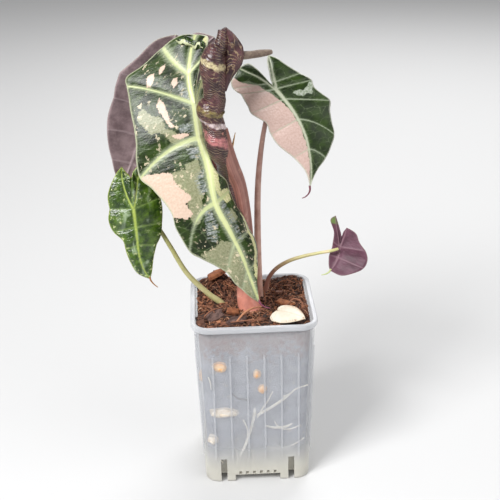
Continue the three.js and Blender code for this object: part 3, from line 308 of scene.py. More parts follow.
DRY_TIP = [
    [-6, -9.4, 245.2, 1.8], [-1.3, -8, 245, 2.2], [2.2, -6, 244.7, 2], [7, -2, 244.3, 2],
    [11.4, 1, 244, 1.6], [13.2, 2.2, 243.9, 1.2],
]

# The corm as [radius, height], and roots at the front wall as [x, y, z, radius].
CORM = {
    "at": [-2, 1],
    "profile": [[0, 64], [4, 64.6], [7.6, 69], [8.8, 75], [7.4, 81], [4.4, 85], [2.2, 87.4], [0, 87.8]],
}

FRONT_ROOTS = [
    [[-2, -4, 72, 1.2], [-2.4, -16, 66, 1.1], [-2, -25, 57, 1], [-1, -28.8, 47, 0.9], [-3, -29, 36, 0.8],
     [-6, -28.9, 26, 0.8], [-10, -28.6, 16, 0.7]],
    [[2, -4, 72, 1.2], [10, -14, 69, 1.1], [19, -22, 66, 1], [22, -27.4, 61, 0.9], [17, -29.2, 55, 0.9],
     [9, -29.3, 49, 0.8], [0.4, -29.2, 43.5, 0.8]],
    [[3, -5, 66, 1.1], [12, -15, 54, 1], [20, -22, 46, 0.9], [22.6, -27, 40, 0.8],
     [18, -28.6, 35.6, 0.8], [11, -28.7, 34.6, 0.8], [5, -28.6, 36, 0.7]],
]

# Pumice grains as [x, y, z, radius, stretch], and which of them are pale, counted from nought.
PUMICE = [
    [-19.8, -29.5, 76.4, 3.4, 1.3], [0.6, -29.5, 71, 3, 0.8], [3.4, -29, 61.2, 3.2, 0.8],
    [-18.4, -28.4, 46.4, 3.4, 2.6], [-25, -27.4, 28, 3.2, 1], [28.6, 8, 55, 4, 1.2],
    [-28.4, 4, 52, 4, 1.1], [6, 28.2, 50, 4, 1.4],
]

PALE_GRAINS = (3, 4)

# Bark chips as [x, y, z, length, width, thickness, turn, tilt, roll], and which of them are red brown.
CHIPS = [
    [-21.5, -16.5, 101, 11, 8, 3, 20, -16, 12], [-9.5, -22.5, 100.8, 11, 9, 3, -12, -14, -8],
    [-11.4, -13.2, 101.9, 8, 4.6, 2.2, 10, 10, 14], [18.5, -5.5, 102, 11, 4.5, 2, -20, 8, 10],
    [-20, 17, 111.2, 12, 7, 2.6, 30, -14, -10],
]

RED_CHIPS = (2, 3, 4)

# How far the visible mix stands back from the wall, so that roots and grains show against it.
MIX_DRAWN_IN = 0.9

# The half width of the square that fibres and crumbs are strewn over.
BITS_HALF = 31

# How each blade is drawn: half widths of the midrib and side veins at their start and end.
VEINS = {
    "front_leaf": {"rib": (2.3, 0.7), "vein": (1.25, 0.55)},
    "back_leaf": {"rib": (1.3, 0.5), "vein": (0.5, 0.2)},
    "right_leaf": {"rib": (1.1, 0.35), "vein": (0.42, 0.2)},
    "small_left_leaf": {"rib": (0.9, 0.3), "vein": (0.5, 0.2)},
    "small_right_leaf": {"rib": (0.8, 0.3), "vein": (0.35, 0.15)},
    "fallen_leaf": {"rib": (0.4, 0.2), "vein": (0.2, 0.1)},
}

# How far the midrib and the side veins are sunk above and stand out below.
SUNK = {"rib": 0.18, "vein": 0.12}
RAISED = {"rib": 0.81, "vein": 0.15}

# The share of its thickness that a blade keeps at its margin, and how far in it is thinner.
MARGIN_SHARE = 0.35
MARGIN_REACH = 1.2

# The drip tips' radius at the blade, and how much of it is gone at the end.
DRIP_RADIUS = 0.62
DRIP_TAPER = 0.4

# The depth that places outside all patches have at least.
OUTSIDE = -9.0

# Patches of colour on the flat blades, as outlines in mm.
PATCHES = {
    "front_leaf": {
        "pink": [
            [(-40, 28.5), (-33.8, 27.6), (-22.5, 29.4), (-19.3, 31.4), (-19.2, 34.8), (-16.6, 39.3),
             (-12.8, 43.6), (-11.6, 46.1), (-14.8, 47.5), (-14.4, 50.5), (-13.1, 54.3), (-15, 55.5),
             (-18.3, 56.3), (-19.4, 55.1), (-23.4, 53), (-32, 54), (-40, 40)],
            [(-30.2, -19.9), (-26.5, -20.6), (-24.8, -17), (-26.4, -13.9), (-28.6, -15.2)],
            [(-19.2, -8.2), (-16.4, -3.5), (-14.8, 1.5), (-14.6, 4.5), (-11.8, 8.3), (-14.6, 8.6),
             (-16.8, 3.9), (-18.1, 1.5), (-21.4, -4.4)],
            [(-14.2, 12.2), (-8, 12.6), (-4.4, 14.2), (-9.4, 15.4), (-13, 14.4)],
            [(-24.5, -22.5), (-22.2, -23.4), (-21, -19.6), (-23.2, -18.4)],
            [(-14, -14.5), (-11.4, -15.4), (-10, -12.6), (-11.6, -10.2), (-13.6, -11.4)],
        ],
        "silver": [
            [(-10, -13), (-6, -12), (-4, -8), (-3, -3), (-7, -5)],
            [(-2.8, 8.4), (-10.6, 8.8), (-9.6, 12.2), (-3, 13)],
            [(-2.6, 20.4), (-8.4, 21), (-7.6, 26.6), (-2.8, 27.4)],
            [(-2.8, 33.4), (-8, 35), (-7.4, 45), (-3, 45.8)],
            [(-3.2, 54.6), (-6.6, 54), (-12.6, 70), (-8.4, 72.6), (-4, 64)],
            [(2.6, 49), (5.6, 50.6), (6.2, 60), (6, 76), (2.8, 77)],
        ],
        "olive": [
            [(-19.4, 30.6), (-12.4, 30.4), (-11.2, 28), (-4, 27), (-4, 33), (-6.4, 38), (-5.4, 47),
             (-7.6, 52), (-10, 58), (-13.5, 61), (-15.6, 57), (-14, 48), (-13, 44), (-17, 39),
             (-19.6, 34.6)],
            [(-31.1, -4), (-27.7, -4.6), (-23.6, 0), (-18.7, 1.9), (-17.3, 7.3), (-15.3, 12.5),
             (-13.7, 16), (-16.4, 12.7), (-19.4, 10.3), (-21.9, 8.6), (-26, 9), (-27.2, 6.1),
             (-30.1, 2.8), (-31.9, -0.7)],
            [(-20, 6), (-13, 10.4), (-8, 15.4), (-4.6, 20.4), (-10, 19.6), (-16, 15)],
            [(-20, 77), (-12, 75.5), (-6.2, 72), (-1, 76), (-1, 112), (-5, 112), (-10, 100), (-15, 90)],
            [(3.2, 60), (8.6, 58), (9.4, 63.5), (4.6, 66)],
        ],
        "cream": [
            [(0.5, 30), (3.4, 33), (4.9, 46.6), (11.3, 47.6), (12, 54), (6.5, 54.4), (2.9, 48.6),
             (0.5, 40)],
            [(13.4, 62), (15.4, 66), (15, 78), (11, 88), (3.8, 101), (2.6, 98), (9, 86), (13, 75)],
            [(4.5, -26), (3.2, -12), (2.4, -6), (8, -7), (9, -16), (9, -25)],
            [(-5, -34), (-1, -32), (1, -26.5), (-2, -26), (-5.4, -29)],
        ],
    },
    "right_leaf": {
        "pink": [
            [(-14.2, -13.6), (-12.9, -8.9), (-9.6, -6.6), (-6.4, -5), (-4.4, 0.2), (-2.3, 5.4),
             (-0.9, 14), (-0.7, 30), (-0.4, 60), (-30, 60), (-30, -13.6)],
        ],
        "olive": [
            [(-12.4, -9.6), (-9, -8.2), (-5.6, -5.6), (-3.2, 0), (-1.6, 5), (-2.6, 6.4), (-5, 1.2),
             (-7, -3.4), (-10, -5.6), (-13, -7.4)],
        ],
        "cream": [
            [(6.5, 5.2), (10, 4.4), (12, 6), (15, 4.6), (18.5, 2.8), (20.2, 3.8), (17, 6.8),
             (14.4, 9.6), (12.6, 8.2), (9.5, 8.6), (7, 7.4)],
        ],
    },
    "small_right_leaf": {
        "olive": [
            [(2, -18), (2.6, -11.6), (9.5, -10.4), (12, -18)],
        ],
    },
    "fallen_leaf": {
        "olive": [
            [(5.6, 0), (4.6, 8), (2.6, 14), (0.6, 20), (3, 24), (12, 14), (12, 0)],
        ],
    },
}


def linear(red, green, blue):
    """A colour given on a 0 to 255 scale, as the linear colour that shaders take."""
    def channel(value):
        value /= 255
        return value / 12.92 if value <= 0.04045 else ((value + 0.055) / 1.055) ** 2.4
    return (channel(red), channel(green), channel(blue), 1.0)


class Value:
    """What a node gives out, so that sums of such values are written as sums."""

    def __init__(self, shade, socket):
        self.shade = shade
        self.socket = socket

    def __add__(self, other):
        return self.shade.math("ADD", self, other)

    def __sub__(self, other):
        return self.shade.math("SUBTRACT", self, other)

    def __mul__(self, other):
        return self.shade.math("MULTIPLY", self, other)


class Shade:
    """One material, with short calls for the nodes that it is made of."""

    def __init__(self, name):
        self.material = bpy.data.materials.new(name)
        self.material.use_nodes = True
        self.tree = self.material.node_tree
        self.shader = self.tree.nodes["Principled BSDF"]

    def node(self, kind, output, inputs, **settings):
        """Adds a node and gives back one of its outputs."""
        made = self.tree.nodes.new(kind)
        for key, value in settings.items():
            setattr(made, key, value)
        for key, value in inputs.items():
            self.put(made.inputs[key], value)
        return Value(self, made.outputs[output])

    def put(self, socket, value):
        if isinstance(value, Value):
            self.tree.links.new(value.socket, socket)
        else:
            socket.default_value = value

    def set(self, **values):
        for key, value in values.items():
            self.put(self.shader.inputs[key.replace("_", " ")], value)

    def math(self, operation, a, b=0.0, clamp=False):
        return self.node("ShaderNodeMath", 0, {0: a, 1: b}, operation=operation, use_clamp=clamp)

    def over(self, colour, layer, amount):
        """Lays one colour over another. Bare colours are given from 0 to 255."""
        a, b = (linear(*c) if isinstance(c, tuple) else c for c in (colour, layer))
        return self.node("ShaderNodeMix", 2, {0: amount, 6: a, 7: b}, data_type="RGBA")

    def ramp(self, value, low, high, start=0.0, end=1.0):
        """Goes softly from start to end while the value goes from low to high."""
        inputs = {"Value": value, "From Min": low, "From Max": high, "To Min": start, "To Max": end}
        return self.node("ShaderNodeMapRange", "Result", inputs, interpolation_type="SMOOTHSTEP")

    def blend(self, colour, layer, value, low, high, start=0.0, end=1.0):
        """Lays one colour over another by a ramp of the value."""
        return self.over(colour, layer, self.ramp(value, low, high, start, end))

    def value(self, name, output="Fac"):
        return self.node("ShaderNodeAttribute", output, {}, attribute_name=name)

    def vector(self, name):
        return self.value(name, "Vector")

    def place(self):
        return self.node("ShaderNodeTexCoord", "Object", {})

    def axis(self, vector, name):
        return self.node("ShaderNodeSeparateXYZ", name, {0: vector})

    def scaled(self, vector, scale):
        return self.node("ShaderNodeMapping", "Vector", {"Vector": vector, "Scale": scale})

    def noise(self, vector, scale, detail=3.0, roughness=0.55, distortion=0.0):
        inputs = {"Vector": vector, "Scale": scale, "Detail": detail, "Roughness": roughness,
                  "Distortion": distortion}
        return self.node("ShaderNodeTexNoise", 0, inputs)

    def cells(self, vector, scale):
        """The gap to the nearest border between cells."""
        inputs = {"Vector": vector, "Scale": scale}
        return self.node("ShaderNodeTexVoronoi", "Distance", inputs, feature="DISTANCE_TO_EDGE")

    def bump(self, height, distance):
        self.set(Normal=self.node("ShaderNodeBump", "Normal", {"Height": height, "Distance": distance}))


def mesh_object(name, points, faces, materials, numbers=None, vectors=None, slots=None, smooth=True):
    """A mesh in mm, with its numbers kept at its points for the materials to read."""
    mesh = bpy.data.meshes.new(name)
    mesh.from_pydata([tuple(p) for p in np.asarray(points) * MM], [], faces)
    for material in materials:
        mesh.materials.append(material)
    for key, values in (numbers or {}).items():
        mesh.attributes.new(key, "FLOAT", "POINT").data.foreach_set("value", np.ravel(values))
    for key, values in (vectors or {}).items():
        mesh.attributes.new(key, "FLOAT_VECTOR", "POINT").data.foreach_set("vector", np.ravel(values))
    if slots:
        mesh.polygons.foreach_set("material_index", slots)
    mesh.polygons.foreach_set("use_smooth", [smooth] * len(mesh.polygons))
    mesh.update()
    made = bpy.data.objects.new(name, mesh)
    bpy.context.scene.collection.objects.link(made)
    return made


def declare(piece, slot, *nodes):
    """Ties a piece to the plant's body and hides the solids that it replaces. The paint slot is not used.
    """
    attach(piece, "root")
    if nodes:
        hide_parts(*nodes)


def read(pairs, place):
    """The height at a place on the straight lines through the pairs."""
    return float(np.interp(place, [p[0] for p in pairs], [p[1] for p in pairs]))


def hermite(t, start, end, leave, arrive):
    """A smooth way from start to end, which leaves and arrives with the given slopes."""
    return (
        (2 * t**3 - 3 * t**2 + 1) * start
        + (t**3 - 2 * t**2 + t) * leave
        + (3 * t**2 - 2 * t**3) * end
        + (t**3 - t**2) * arrive
    )


def curve_at(pairs, place):
    """A smooth curve through the pairs that runs on straight beyond its ends."""
    last = len(pairs) - 1

    def slope(i):
        return (pairs[i + 1][1] - pairs[i][1]) / (pairs[i + 1][0] - pairs[i][0])

    def tangent(i):
        if i == 0:
            return slope(0)
        if i == last:
            return slope(last - 1)
        before = pairs[i][0] - pairs[i - 1][0]
        after = pairs[i + 1][0] - pairs[i][0]
        return (slope(i - 1) * after + slope(i) * before) / (before + after)

    if place <= pairs[0][0]:
        return pairs[0][1] + tangent(0) * (place - pairs[0][0])
    if place >= pairs[last][0]:
        return pairs[last][1] + tangent(last) * (place - pairs[last][0])
    i = max(k for k in range(last) if pairs[k][0] <= place)
    width = pairs[i + 1][0] - pairs[i][0]
    part = (place - pairs[i][0]) / width
    return hermite(part, pairs[i][1], pairs[i + 1][1], width * tangent(i), width * tangent(i + 1))


def between(rows, place):
    """A row of numbers on the smooth curve through rows, at a place counted in rows."""
    at = min(int(math.floor(place)), len(rows) - 2)
    here, there = rows[at], rows[at + 1]
    before = rows[max(at - 1, 0)]
    after = rows[min(at + 2, len(rows) - 1)]
    return hermite(place - at, here, there, (there - before) / 2, (after - here) / 2)


def blade_shape(leaf):
    """The bent blade: takes a place on the flat blade to its place in the plant."""
    junction = Vector(leaf["junction"])
    along = Vector(leaf["tip"]) - junction
    length = along.length
    along.normalize()
    upper = Vector(leaf["upper"])
    upper = (upper - along * upper.dot(along)).normalized()
    across = upper.cross(along)

    def shape(x, y, side):
        t = y / length
        rise = t * (1 - t) if t > 0 else t
        back = max(-y / leaf["lobeLength"], 0)
        half = "left" if side < 0 else "right"
        fold = math.radians(read(leaf["fold"][half], y))
        curl = math.radians(read(leaf["curl"][half], y))
        reach = side * x
        if abs(curl) > 1e-6:
            out = (math.sin(fold + curl * reach) - math.sin(fold)) / curl
            down = (math.cos(fold) - math.cos(fold + curl * reach)) / curl
        else:
            out = reach * math.cos(fold)
            down = reach * math.sin(fold)
        sideways = curve_at(leaf["midrib"], y) + leaf["swing"] * back**2 + side * out
        height = 4 * leaf["arch"] * rise - leaf["lean"] * back**2 - down
        return junction + across * sideways + along * y + upper * height

    return shape


def half_patches(leaf, half):
    """The patches of one half: inside the lobe's rib, outside it, and beside the midrib."""
    spine = leaf["spine"]
    inner = [[rx, ry, ix, iy, 0] for rx, ry, ox, oy, ix, iy in half["lobe"]]
    outer = [[rx, ry, ox, oy, 0] for rx, ry, ox, oy, ix, iy in half["lobe"]]
    outer.append([0, 0, *half["margin"][0]])
    inner.append([0, 0, *leaf["sinus"], 0])
    main = [[0, spine[i], *row] for i, row in enumerate(half["margin"])]
    main.append([0, spine[-1], 0, spine[-1], 0])
    return [
        (inner, leaf["lobeVeins"], 0.6),
        (outer, leaf["lobeVeins"], 1.0),
        (main, leaf["spineVeins"], 1.0),
    ]


def outline_depth(places, outlines):
    """How far inside the nearest outline each place lies, in mm, below zero outside them all."""
    best = np.full(len(places), OUTSIDE)
    for outline in outlines:
        ring = np.array(outline, float)
        near = np.full(len(places), np.inf)
        inside = np.zeros(len(places), bool)
        for start, end in zip(ring, np.roll(ring, -1, axis=0)):
            line = end - start
            share = np.clip(((places - start) @ line) / (line @ line), 0, 1)
            near = np.minimum(near, np.linalg.norm(places - start - share[:, None] * line, axis=1))
            crosses = (start[1] > places[:, 1]) != (end[1] > places[:, 1])
            rise = line[1] if line[1] != 0 else 1e-9
            meets = start[0] + line[0] * (places[:, 1] - start[1]) / rise
            inside ^= crosses & (places[:, 0] < meets)
        best = np.maximum(best, np.where(inside, near, -near))
    return best


def on_row(row, s):
    """The place on a sagging row at a share s of the way from the midrib to the margin."""
    sx, sy, mx, my, sag = row
    return sx + (mx - sx) * s, sy + (my - sy) * s - sag * 4 * s * (1 - s)


def grid_faces(grid, flat):
    """The faces between the lines of a grid, all the same side up, without those that have no area."""
    faces = []
    for line, following in zip(grid, grid[1:]):
        for j in range(len(line) - 1):
            quad = [line[j], following[j], following[j + 1], line[j + 1]]
            corners = [c for k, c in enumerate(quad) if c != quad[k - 1]]
            if len(set(corners)) < 3:
                continue
            area = 0.0
            for k, c in enumerate(corners):
                px, py = flat[corners[k - 1]]
                qx, qy = flat[c]
                area += px * qy - qx * py
            faces.append(corners[::-1] if area > 0 else corners)
    return faces


def blade_sheet(leaf, widths, steps, across):
    """The blade without its thickness: points, places on the flat blade, faces and measures in mm."""
    shape = blade_shape(leaf)
    points, flat, faces, known = [], [], [], {}
    measures = {"lift": [], "rib_gap": [], "vein_gap": [], "edge": []}

    def point_number(x, y, side, *values):
        key = (round(x, 4), round(y, 4))
        if key not in known:
            known[key] = len(points)
            points.append(shape(x, y, side))
            flat.append((x, y))
            for column, value in zip(measures.values(), values):
                column.append(value)
        return known[key]

    for side, half in ((-1, leaf["left"]), (1, leaf["right"])):
        for rows, veins, share in half_patches(leaf, half):
            rows = [np.array(row, float) for row in rows]
            wide = max(3, round(across * share))
            vein_rows = [between(rows, v) for v in veins]
            grid = []
            for i in range((len(rows) - 1) * steps + 1):
                place = i / steps
                row = between(rows, place)
                sx, sy, mx, my, _ = row
                after = next((k for k, v in enumerate(veins) if place <= v), len(veins) - 1)
                after = max(after, 1)
                low, high = veins[after - 1], veins[after]
                pleat = math.sin(math.pi * min(max((place - low) / (high - low), 0), 1))
                limit = leaf["spine"][-1] if sy >= 0 else leaf["lobeLength"]
                rib_width = np.interp(abs(sy) / limit, (0, 1), widths["rib"])
                line = []
                for j in range(wide + 1):
                    s = j / wide
                    x, y = on_row(row, s)
                    beside = [on_row(vein_rows[k], s) for k in (after - 1, after)]
                    vein = min(math.hypot(x - vx, y - vy) for vx, vy in beside)
                    vein -= np.interp(s, (0, 1), widths["vein"])
                    lift = pleat * (leaf["pillow"] * 4 * s * (1 - s) + leaf["wave"] * s * s)
                    rib = math.hypot(x - sx, y - sy) - rib_width
                    line.append(point_number(x, y, side, lift, rib, vein, math.hypot(mx - x, my - y)))
                grid.append(line)
            faces += grid_faces(grid, flat)
    measures = {key: np.array(column) for key, column in measures.items()}
    return np.array(points), np.array(flat), faces, measures


def normals_and_border(points, faces):
    """The normals at a sheet's points, and the edges that only one of its faces has."""
    normals = np.zeros((len(points), 3))
    border = {}
    for face in faces:
        corners = points[face]
        normal = np.cross(corners[1] - corners[0], corners[2] - corners[0])
        if len(face) == 4:
            normal = normal + np.cross(corners[2] - corners[0], corners[3] - corners[0])
        for k, c in enumerate(face):
            normals[c] += normal
            a, b = face[k - 1], c
            if (b, a) in border:
                del border[(b, a)]
            else:
                border[(a, b)] = True
    normals /= np.linalg.norm(normals, axis=1)[:, None] + 1e-12
    return normals, list(border)


def make_blade(name, leaf, materials, steps, across):
    """A blade as a closed sheet with its veins raised below and sunk above."""
    widths = VEINS[name]
    points, flat, faces, numbers = blade_sheet(leaf, widths, steps, across)
    count = len(points)
    normals, border = normals_and_border(points, faces)
    rib_half, vein_half = widths["rib"][0], widths["vein"][0]
    ridge = np.exp(-np.clip(numbers["rib_gap"] + rib_half, 0, None) ** 2 / (0.6 * rib_half ** 2))
    side_ridge = np.exp(-np.clip(numbers["vein_gap"] + vein_half, 0, None) ** 2 / (0.8 * vein_half ** 2))
    inward = np.clip(numbers["edge"] / MARGIN_REACH, 0, 1)
    half_thickness = BLADE / 2 * (MARGIN_SHARE + (1 - MARGIN_SHARE) * inward)
    lift = numbers.pop("lift")
    top = lift + half_thickness - SUNK["rib"] * ridge - SUNK["vein"] * side_ridge
    bottom = lift - half_thickness - RAISED["rib"] * ridge - RAISED["vein"] * side_ridge
    solid = np.concatenate([points + normals * top[:, None], points + normals * bottom[:, None]])
    all_faces = faces + [[c + count for c in face[::-1]] for face in faces]
    all_faces += [[b, a, a + count, b + count] for a, b in border]
    slots = [0] * len(faces) + [1] * len(faces) + [0] * len(border)
    for tint in ("pink", "olive", "cream", "silver"):
        numbers[tint] = outline_depth(flat, PATCHES.get(name, {}).get(tint, []))
    numbers = {key: np.tile(values, 2) for key, values in numbers.items()}
    flat_places = np.tile(np.column_stack([flat, np.zeros(count)]), (2, 1))
    if "dripTip" in leaf:
        last = len(leaf["dripTip"]) - 1
        rows = [[*spot, DRIP_RADIUS - DRIP_TAPER * i / last] for i, spot in enumerate(leaf["dripTip"])]
        tube, tube_faces, _ = tube_along(rows, 8, 24)
        start, extra = len(solid), len(tube)
        solid = np.concatenate([solid, tube])
        all_faces += [[c + start for c in face] for face in tube_faces]
        slots += [0] * len(tube_faces)
        past_tip = [0.0, leaf["spine"][-1] + 1.0, 0.0]
        flat_places = np.concatenate([flat_places, np.tile(past_tip, (extra, 1))])
        fill = {"rib_gap": -1.0, "vein_gap": 5.0, "edge": 5.0}
        for key in numbers:
            numbers[key] = np.concatenate([numbers[key], np.full(extra, fill.get(key, OUTSIDE))])
    vectors = {"flat": flat_places}
    return mesh_object(name + "_blade", solid, all_faces, materials, numbers, vectors, slots)


def curve_point(points, t):
    """A place on the smooth curve through points, with t from 0 to 1, and its direction."""
    last = len(points) - 1
    place = last * t
    at = min(int(math.floor(place)), last - 1)
    weight = place - at
    p1, p2 = points[at], points[at + 1]
    p0 = points[at - 1] if at > 0 else 2 * points[0] - points[1]
    p3 = points[at + 2] if at + 2 <= last else 2 * points[last] - points[last - 1]
    pairs = ((p0, p1), (p1, p2), (p2, p3))
    d0, d1, d2 = (max(np.sum((b - a) ** 2) ** 0.25, 1e-4) for a, b in pairs)
    leave = ((p1 - p0) / d0 - (p2 - p0) / (d0 + d1) + (p2 - p1) / d1) * d1
    arrive = ((p2 - p1) / d1 - (p3 - p1) / (d1 + d2) + (p3 - p2) / d2) * d1
    square = -3 * p1 + 3 * p2 - 2 * leave - arrive
    cube = 2 * p1 - 2 * p2 + leave + arrive
    spot = p1 + leave * weight + square * weight**2 + cube * weight**3
    way = leave + 2 * square * weight + 3 * cube * weight**2
    return spot, way / (np.linalg.norm(way) + 1e-12)


def ring_faces(rings, sides):
    """The faces of a closed shape through rings of points that have the same count of sides."""
    faces = []
    for i in range(rings - 1):
        for j in range(sides):
            a, b = i * sides + j, i * sides + (j + 1) % sides
            faces.append([a, b, b + sides, a + sides])
    faces.append(list(range(sides))[::-1])
    faces.append([(rings - 1) * sides + j for j in range(sides)])
    return faces


def tube_along(rows, sides, steps, swell=None):
    """A closed round or oval tube along rows of x, y, z, half width and half depth."""
    points = [np.array(row[:3], float) for row in rows]
    made, turn = [], []
    travelled = 0.0
    previous = None
    for i in range(steps + 1):
        t = i / steps
        centre, forward = curve_point(points, t)
        if previous is not None:
            travelled += float(np.linalg.norm(centre - previous))
        previous = centre
        side = np.array([1.0, 0, 0]) - forward * forward[0]
        side /= np.linalg.norm(side)
        up = np.cross(forward, side)
        place = t * (len(rows) - 1)
        at = min(int(place), len(rows) - 2)
        here, there = np.array(rows[at][3:]), np.array(rows[at + 1][3:])
        size = here + (there - here) * (place - at)
        width, depth = size[0], size[-1]
        for j in range(sides):
            angle = 2 * math.pi * j / sides
            grow = swell(t, angle, travelled) if swell else 1.0
            offset = side * (width * math.cos(angle)) + up * (depth * math.sin(angle))
            made.append(centre + offset * grow)
            turn.append(angle)
    return np.array(made), ring_faces(steps + 1, sides), turn


def tube_object(name, rows, material, sides=20, steps=60, swell=None):
    """A tube with the way round it kept at its points. What swell gives makes it wider or slimmer."""
    made, faces, turn = tube_along(rows, sides, steps, swell)
    around = [(math.cos(a), math.sin(a), 0.0) for a in turn]
    return mesh_object(name, made, faces, [material], vectors={"around": around})


def tube_shape(rows, sides, steps, tone=0.0):
    """A tube along rows of x, y, z and radius as one (points, faces, tone) shape."""
    made, faces, _ = tube_along(rows, sides, steps)
    return [tuple(p) for p in made], faces, tone


def join_shapes(shapes):
    """Several (points, faces, tone) shapes as one list of points, faces and tones."""
    points, faces, tones = [], [], []
    for shape_points, shape_faces, tone in shapes:
        start = len(points)
        points.extend(shape_points)
        faces.extend([[c + start for c in face] for face in shape_faces])
        tones.extend([tone] * len(shape_points))
    return points, faces, tones


def shapes_object(name, shapes, material, smooth=True):
    """One object out of several shapes, each with its own tone for the material to read."""
    points, faces, tones = join_shapes(shapes)
    return mesh_object(name, points, faces, [material], {"tone": tones}, smooth=smooth)


def blade_top(name, look, length):
    """The upper side of a blade: ground colour, patches, silver feathering, painted highlight, veins and
    margin.
    """
    shade = Shade(name)
    flat = shade.vector("flat")
    wide = shade.noise(flat, look.get("mottle", 0.12), 4.0, 0.6)
    fine = shade.noise(flat, 0.9, 3.0, 0.6)
    coarse = shade.noise(flat, 0.3, 2.0, 0.5)
    wobble = fine - 0.5
    sway = coarse - 0.5
    rib = shade.value("rib_gap")
    vein = shade.value("vein_gap")
    along = shade.axis(flat, "Y")
    if "fade" in look:
        vein = vein + shade.ramp(along, look["fade"], look["fade"] + 9, 0.0, 0.95)

    def patch(tint, ragged):
        """How much of a patch covers each place, with a torn outline."""
        gap = shade.value(tint) + wobble * ragged
        return gap + sway * (ragged * 0.8)

    colour = shade.blend(look["dark"], look["light"], wide, 0.38, 0.66)
    if "olive" in look:
        deep = look.get("olive_shade", look["olive"])
        olive = shade.blend(look["olive"], deep, fine, 0.35, 0.65)
        share = look.get("olive_share", 0.85)
        colour = shade.blend(colour, olive, patch("olive", 3.2), -0.4, 0.4, 0.0, share)
    if "small_vein" in look:
        net = shade.cells(shade.scaled(flat, (0.5, 1.0, 1.0)), look["net_scale"]) + wobble * 0.12
        where = shade.ramp(coarse, 0.4, 0.6, 0.25, 1.0)
        lines = shade.ramp(net, 0.05, 0.0, 0.0, look["net_share"]) * where
        colour = shade.over(colour, look["small_vein"], lines)
    if "halo" in look:
        feather = shade.noise(shade.scaled(flat, (0.35, 1.8, 1.0)), 1.0, 3.0, 0.6, 0.4)
        sprout = (feather - 0.5) * 4.0
        for gap, reach in ((vein, look["halo_reach"]), (rib, look["halo_reach"] * 1.25)):
            share = look["halo_share"]
            colour = shade.blend(colour, look["halo"], gap + sprout, reach, -0.4, 0.0, share)
    if "silver" in look:
        streaks = shade.noise(shade.scaled(flat, (0.16, 0.95, 1.0)), 1.0, 3.0, 0.6, 0.3)
        near = shade.ramp(patch("silver", 2.5), -0.7, 0.7)
        sheen = shade.blend(look["silver"], look["silver_shade"], fine, 0.4, 0.62)
        amount = shade.ramp(streaks, 0.38, 0.58) * near
        colour = shade.over(colour, sheen, amount * look["silver_share"])
    # A painted highlight: pale streaks of gloss laid into the colour near the midrib.
    if "sheen" in look:
        gloss = shade.noise(shade.scaled(flat, (0.16, 0.09, 1.0)), 1.0, 3.0, 0.55, 0.6)
        near = shade.ramp(rib, look["sheen_reach"], 1.0)
        amount = shade.ramp(gloss, 0.5, 0.68) * near
        colour = shade.over(colour, look["sheen"], amount * look["sheen_share"])
    if "speckle" in look:
        dots = shade.noise(flat, look["speckle_scale"], 4.0, 0.65)
        where = shade.ramp(shade.noise(flat, 0.075, 2.0), *look.get("speckle_where", (0.42, 0.6)))
        if "speckle_rim" in look:
            rim_share = shade.ramp(shade.value("edge"), look["speckle_rim"], 1.0)
            where = shade.math("MAXIMUM", where, rim_share)
        low, high = look["speckle_cut"]
        colour = shade.over(colour, look["speckle"], shade.ramp(dots, low, high) * where)
    for tint in ("pink", "cream"):
        if tint in look:
            gap = patch(tint, look["ragged"])
            blush = shade.blend(look[tint], look[tint + "_shade"], fine, 0.3, 0.7)
            colour = shade.blend(colour, blush, gap, -0.2, 0.2)
    share = look.get("vein_share", 0.9)
    colour = shade.blend(colour, look["vein"], vein + wobble * 0.9, 0.35, -0.5, 0.0, share)
    colour = shade.blend(colour, look["rib"], rib + wobble * 0.9, 0.35, -0.7)
    colour = shade.blend(colour, look.get("core", look["rib"]), rib, -0.9, -2.1, 0.0, 0.7)
    rim = shade.value("edge") + wobble * 0.8
    share = look.get("margin_share", 0.85)
    colour = shade.blend(colour, look["margin"], rim, look["margin_reach"], 0.15, 0.0, share)
    if "tip" in look:
        along = along + wobble
        colour = shade.blend(colour, look["tip"], along, length - 1.6, length + 0.2)
    shine = look.get("shine", 0.45)
    shade.set(Base_Color=colour, Roughness=look.get("roughness", 0.36), Specular_IOR_Level=shine)
    quilt = shade.noise(shade.scaled(flat, (0.25, 0.8, 1.0)), 0.5, 3.0)
    shade.bump(quilt + fine * 0.25, look.get("relief", 0.45) * MM)
    return shade.material


def blade_under(name, ground, deep, vein, green_tip=None):
    """The underside of a blade: dull, with raised veins."""
    shade = Shade(name)
    flat = shade.vector("flat")
    wide = shade.noise(flat, 0.1, 4.0, 0.6)
    fine = shade.noise(flat, 0.8, 3.0, 0.6)
    colour = shade.blend(ground, deep, wide, 0.35, 0.68)
    if green_tip:
        colour = shade.blend(colour, green_tip, shade.value("olive"), -0.5, 0.5)
    colour = shade.blend(colour, vein, shade.value("vein_gap"), 0.5, -0.1, 0.0, 0.55)
    colour = shade.blend(colour, vein, shade.value("rib_gap"), 0.6, -0.4, 0.0, 0.8)
    colour = shade.blend(colour, vein, shade.value("edge"), 0.9, 0.1, 0.0, 0.6)
    shade.set(Base_Color=colour, Roughness=0.5, Specular_IOR_Level=0.35)
    net = shade.noise(shade.scaled(flat, (0.3, 1.0, 1.0)), 0.5, 3.0)
    shade.bump(net + fine * 0.4, 0.4 * MM)
    return shade.material


